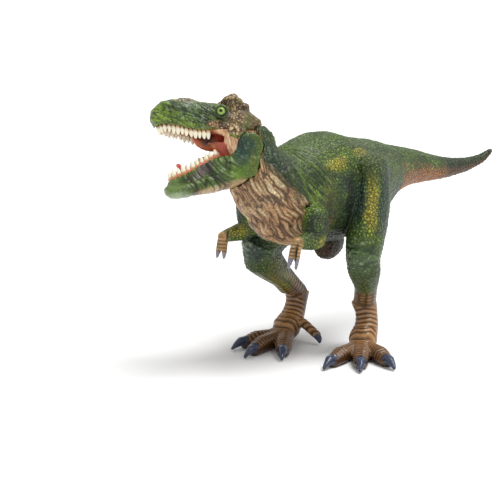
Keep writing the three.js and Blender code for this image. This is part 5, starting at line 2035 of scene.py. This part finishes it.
@dataclass
class ToothRow:
    """A row of blunt teeth grown on a gum line by a node tree.

    Attributes:
        name: The frame's solid that the row stands for.
        line: Corners of the gum line, in the head's frame.
        count: Teeth in the row.
        length: Length of the longest tooth.
        radius: Radius at a tooth's foot.
        up: Direction from the gum to the tips, in the head's frame.
        body: What it moves with.
        material: The teeth's material.
        seed: Which row of leans and sizes to take.
    """

    name: str
    line: Array
    count: int
    length: float
    radius: float
    up: Triple
    body: Body
    material: bpy.types.Material
    seed: int

    def tree(self) -> bpy.types.NodeTree:
        """Builds the node tree that sets a tooth on each point of a curve.

        Returns:
            The tree, whose inputs are named as in `build`.
        """
        tree = bpy.data.node_groups.new(self.name + "_growth", "GeometryNodeTree")
        sockets = {
            "Geometry": "Geometry", "Tooth Count": "Int", "Tooth Radius": "Float",
            "Tooth Length": "Float", "Lean": "Vector", "Seed": "Int", "Enamel": "Material",
        }
        for label, kind in sockets.items():
            tree.interface.new_socket(label, in_out="INPUT", socket_type="NodeSocket" + kind)
        tree.interface.new_socket("Geometry", in_out="OUTPUT", socket_type="NodeSocketGeometry")
        grow = Tree(tree)
        given = grow.node("NodeGroupInput").outputs
        curve = grow.node("GeometryNodeMeshToCurve", {"Mesh": given["Geometry"]})
        feeds = {"Curve": curve.outputs["Curve"], "Count": given["Tooth Count"]}
        points = grow.node("GeometryNodeCurveToPoints", feeds, mode="COUNT")
        lean, size = self.chance(grow, given)
        aim = grow.node("FunctionNodeAlignRotationToVector", {"Vector": lean}, axis="Z")
        placed = grow.node("GeometryNodeInstanceOnPoints", {
            "Points": points.outputs["Points"], "Instance": self.tooth(grow, given),
            "Rotation": aim.outputs["Rotation"], "Scale": size,
        })
        feeds = {"Geometry": placed.outputs["Instances"]}
        real = grow.node("GeometryNodeRealizeInstances", feeds).outputs["Geometry"]
        feeds = {"Geometry": real, "Material": given["Enamel"]}
        last = grow.node("GeometryNodeSetMaterial", feeds).outputs["Geometry"]
        grow.node("NodeGroupOutput", {"Geometry": last})
        return tree

    @staticmethod
    def tooth(grow: Tree, given: bpy.types.NodeOutputs) -> Socket:
        """Shapes one tooth from a ball: blunt at the tip and widest at the gum.

        Args:
            grow: The tree.
            given: The tree's own inputs.

        Returns:
            The tooth.
        """
        ball = grow.node("GeometryNodeMeshUVSphere", {"Segments": 18, "Rings": 14, "Radius": 1.0})
        place = grow.node("GeometryNodeInputPosition").outputs[0]
        x, y, z = grow.node("ShaderNodeSeparateXYZ", {0: place}).outputs
        feeds = {"Value": z, "From Min": -0.6, "From Max": 1.0, "To Min": 1.0, "To Max": 0.95}
        narrow = grow.node("ShaderNodeMapRange", feeds, interpolation_type="SMOOTHSTEP")
        wide = grow.number("MULTIPLY", narrow.outputs["Result"], given["Tooth Radius"])
        shaped = grow.node("ShaderNodeCombineXYZ", {
            "X": grow.number("MULTIPLY", x, wide), "Y": grow.number("MULTIPLY", y, wide),
            "Z": grow.number("MULTIPLY", z, given["Tooth Length"]),
        })
        feeds = {"Geometry": ball.outputs["Mesh"], "Name": "height", "Value": z}
        kind = {"data_type": "FLOAT", "domain": "POINT"}
        stored = grow.node("GeometryNodeStoreNamedAttribute", feeds, **kind)
        feeds = {"Geometry": stored.outputs["Geometry"], "Position": shaped.outputs[0]}
        moved = grow.node("GeometryNodeSetPosition", feeds).outputs["Geometry"]
        smooth = grow.node("GeometryNodeSetShadeSmooth", {"Geometry": moved})
        return smooth.outputs["Geometry"]

    @staticmethod
    def chance(grow: Tree, given: bpy.types.NodeOutputs) -> tuple[Socket, Socket]:
        """Varies the teeth a little.

        Args:
            grow: The tree.
            given: The tree's own inputs.

        Returns:
            The direction and the relative size of each tooth.
        """
        wobble, seed = (0.08, 0.08, 0.08), given["Seed"]
        feeds = {"Min": tuple(-w for w in wobble), "Max": wobble, "Seed": seed}
        jitter = grow.node("FunctionNodeRandomValue", feeds, data_type="FLOAT_VECTOR")
        feeds = {0: given["Lean"], 1: jitter.outputs["Value"]}
        lean = grow.node("ShaderNodeVectorMath", feeds, operation="ADD")
        feeds = {2: 0.84, 3: 1.06, "Seed": seed}
        size = grow.node("FunctionNodeRandomValue", feeds, data_type="FLOAT")
        return lean.outputs[0], size.outputs[1]

    def build(self) -> bpy.types.Object:
        """Grows the row.

        Returns:
            The row's object, tied to the frame.
        """
        world = (HEAD.world(self.line) + SHIFT) * MM
        edges = [(i, i + 1) for i in range(len(world) - 1)]
        draft = plain_object(self.name + "_line", world.tolist(), edges, [])
        change = draft.modifiers.new("teeth", "NODES")
        change.node_group = self.tree()
        values = {
            "Tooth Count": self.count, "Tooth Radius": self.radius * MM,
            "Tooth Length": self.length * MM, "Lean": tuple(HEAD.matrix() @ np.array(self.up)),
            "Seed": self.seed, "Enamel": self.material,
        }
        for item in change.node_group.interface.items_tree:
            if item.name in values and item.in_out == "INPUT":
                change[item.identifier] = values[item.name]
        row = bpy.data.objects.new(self.name + "_look", finished(draft))
        return tie(row, self.body, (self.name,))


def swept(line: Array, radii: Array, sides: int = 12) -> Shape:
    """A closed tube along a line, with rounded ends.

    Args:
        line: Places along the tube's middle.
        radii: Its radius at each place.
        sides: Corners in each ring.

    Returns:
        The tube.
    """
    along = np.gradient(line, axis=0)
    along /= np.linalg.norm(along, axis=1, keepdims=True)
    side = np.cross(along, (0.0, 0.0, 1.0))
    side /= np.linalg.norm(side, axis=1, keepdims=True)
    up = np.cross(side, along)
    turn = 2 * math.pi * np.arange(sides) / sides
    ring = np.cos(turn)[:, None, None] * side + np.sin(turn)[:, None, None] * up
    points = (line + radii[:, None] * ring).transpose(1, 0, 2).reshape(-1, 3)
    ends = np.stack([line[0] - along[0] * radii[0] * 0.6, line[-1] + along[-1] * radii[-1] * 0.6])
    return Shape(np.concatenate([points, ends]), tube_faces(len(line), sides))


# Left half of each gum line from the front back, in the head's frame
UPPER_GUM = (
    (2.7, -43.0, 5.4), (5.0, -41.0, 6.0), (6.9, -34.4, 5.0), (8.2, -27.3, 3.4), (9.6, -20.5, 3.2),
)
LOWER_GUM = (
    (1.7, -36.4, -20.4), (3.2, -35.0, -19.2), (5.15, -28.7, -16.5),
    (6.65, -22.0, -12.3), (8.0, -15.8, -8.2),
)
UPPER_TIPS = (0.0, 0.16, -1.0)
LOWER_TIPS = (0.0, -0.326, 0.945)
GUM_RADIUS = 1.05


def round_mouth(side: tuple[Triple, ...], count: int = 60) -> Array:
    """Joins a gum line with its mirror image and spaces it evenly.

    Args:
        side: The left half, from the front back, in the head's frame.
        count: Places on the whole line.

    Returns:
        The line from the right corner of the mouth round to the left.
    """
    left = np.array(side)
    whole = np.concatenate([left[::-1] * ACROSS, left])
    run = np.concatenate([[0], np.cumsum(np.linalg.norm(np.diff(whole, axis=0), axis=1))])
    even = np.linspace(0, run[-1], count)
    line = np.stack([np.interp(even, run, whole[:, k]) for k in range(3)], 1)
    for _ in range(3):
        line[1:-1] = (line[:-2] + line[1:-1] + line[2:]) / 3
    return line


@dataclass(frozen=True)
class Studio:
    """Camera, floor and soft lights.

    Attributes:
        sensor: Width of the camera's picture, in millimetres.
        reach: Half the floor's width, in metres.
        floor_tone: How pale the floor is, from 0 to 1.
        source: The direction that the light comes from.
        spread: The light's apparent width, in degrees.
        strength: The light's strength, in watts per square metre.
        room: Brightness of the room.
    """

    sensor: float = 36.0
    reach: float = 6.0
    floor_tone: float = 0.92
    source: Triple = (0.3, 0.2, 1.0)
    spread: float = 34.0
    strength: float = 2.6
    room: float = 0.7

    def build(self) -> None:
        """Puts the camera, the floor, the lights and the world in the scene."""
        scene = bpy.context.scene
        scene.view_settings.view_transform = "Standard"
        self.camera(scene)
        self.floor()
        self.sun()
        world = bpy.data.worlds.new("pale room")
        world.use_nodes = True
        background = world.node_tree.nodes["Background"]
        background.inputs["Color"].default_value = (1, 1, 1, 1)
        background.inputs["Strength"].default_value = self.room
        scene.world = world

    def camera(self, scene: bpy.types.Scene) -> None:
        """Sets the photograph's view.

        Args:
            scene: The scene.
        """
        right, up, back = VIEW.axes()
        data = bpy.data.cameras.new("camera")
        data.sensor_width = self.sensor
        data.lens = VIEW.focal * self.sensor / (2 * VIEW.half)
        data.clip_start = 0.01
        camera = bpy.data.objects.new("camera", data)
        turn = Matrix(np.stack([right, up, back], 1).tolist()).to_4x4()
        camera.matrix_world = Matrix.Translation((np.array(VIEW.eye) + SHIFT) * MM) @ turn
        scene.collection.objects.link(camera)
        scene.camera = camera

    def floor(self) -> None:
        """Lays the pale floor."""
        r = self.reach
        corners = [(-r, -r, 0), (r, -r, 0), (r, r, 0), (-r, r, 0)]
        floor = plain_object("floor", corners, [], [(0, 1, 2, 3)])
        graph = Graph("floor")
        tone = (self.floor_tone,) * 3
        graph.coated({"Base Color": (*tone, 1), "Roughness": 0.9, "Specular IOR Level": 0.2})
        floor.data.materials.append(graph.material)

    def sun(self) -> None:
        """Adds one broad distant light."""
        data = bpy.data.lights.new("window", "SUN")
        data.angle = math.radians(self.spread)
        data.energy = self.strength
        lamp = bpy.data.objects.new("window", data)
        lamp.rotation_euler = Vector(self.source).to_track_quat("Z", "Y").to_euler()
        bpy.context.scene.collection.objects.link(lamp)


def head_pieces(skin: bpy.types.Material, gloss: bpy.types.Material) -> None:
    """Builds the head, the jaw and the mouth.

    Args:
        skin: The skin's material.
        gloss: The smooth parts' material.
    """
    skull, jaw, mouth = Skull(), LowerJaw(), Mouth()
    figure, low = Body.FIGURE, Body.JAW
    Piece("skull_skin", skull.shape, skull.coat, skin, figure, ("skull",), "head").put()
    Piece("lower_jaw_skin", jaw.shape, jaw.coat, skin, low, ("lower_jaw",), "jaw").put()
    lining = ("mouth_lining",)
    Piece("mouth_skin", mouth.lining, mouth.paint, gloss, figure, lining, "mouth_skin").put()
    Piece("tongue_skin", mouth.tongue, mouth.tongue_paint, gloss, low, ("tongue",), "tongue").put()
    other = HEAD.flipped(skull.eye[None])[0]
    for name, centre, side in (("left_eye", skull.eye, 1.0), ("right_eye", other, -1.0)):
        gaze = HEAD.matrix() @ np.array([side, -0.35, 0.05])
        sunk = centre - EYE_SINK * side * HEAD.matrix()[:, 0]
        Eye(sunk, gaze / np.linalg.norm(gaze)).build(name, gloss).put()
    enamel = EnamelFinish().build()
    upper, lower = round_mouth(UPPER_GUM), round_mouth(LOWER_GUM)
    rows = (
        ToothRow("upper_teeth", upper, 26, 4.2, 1.3, UPPER_TIPS, figure, enamel, 4),
        ToothRow("lower_teeth", lower, 22, 3.6, 1.3, LOWER_TIPS, low, enamel, 8),
    )
    for row in rows:
        row.build()
    for row, name, paint in zip(rows, ("upper_gum", "lower_gum"), (Paint.BROWN, Paint.PINK)):
        tube = swept(HEAD.world(row.line), np.full(len(row.line), GUM_RADIUS))
        Piece(name, tube, Coat(len(tube.points), paint), gloss, row.body, (), "tooth").put()
    pin = Shape.of_node("jaw_pin").voxelled(0.2).relaxed(6)
    steel = GlossFinish("steel", 0.25, 2.0, 0.01, 1.0, 0.0).build()
    coat = Coat(len(pin.points), Paint.MINT)
    Piece("jaw_pin_look", pin, coat, steel, figure, ("jaw_pin",), "steel").put()


def main() -> None:
    """Builds every piece and the studio."""
    logging.basicConfig(level=logging.INFO, format="%(name)s %(message)s")
    skin = SkinFinish("painted skin").build()
    gloss = GlossFinish("glossy").build()
    hide = Hide()
    for piece in hide.pieces(skin):
        piece.put()
    head_pieces(skin, gloss)
    Studio().build()


if __name__ == "__main__":
    main()
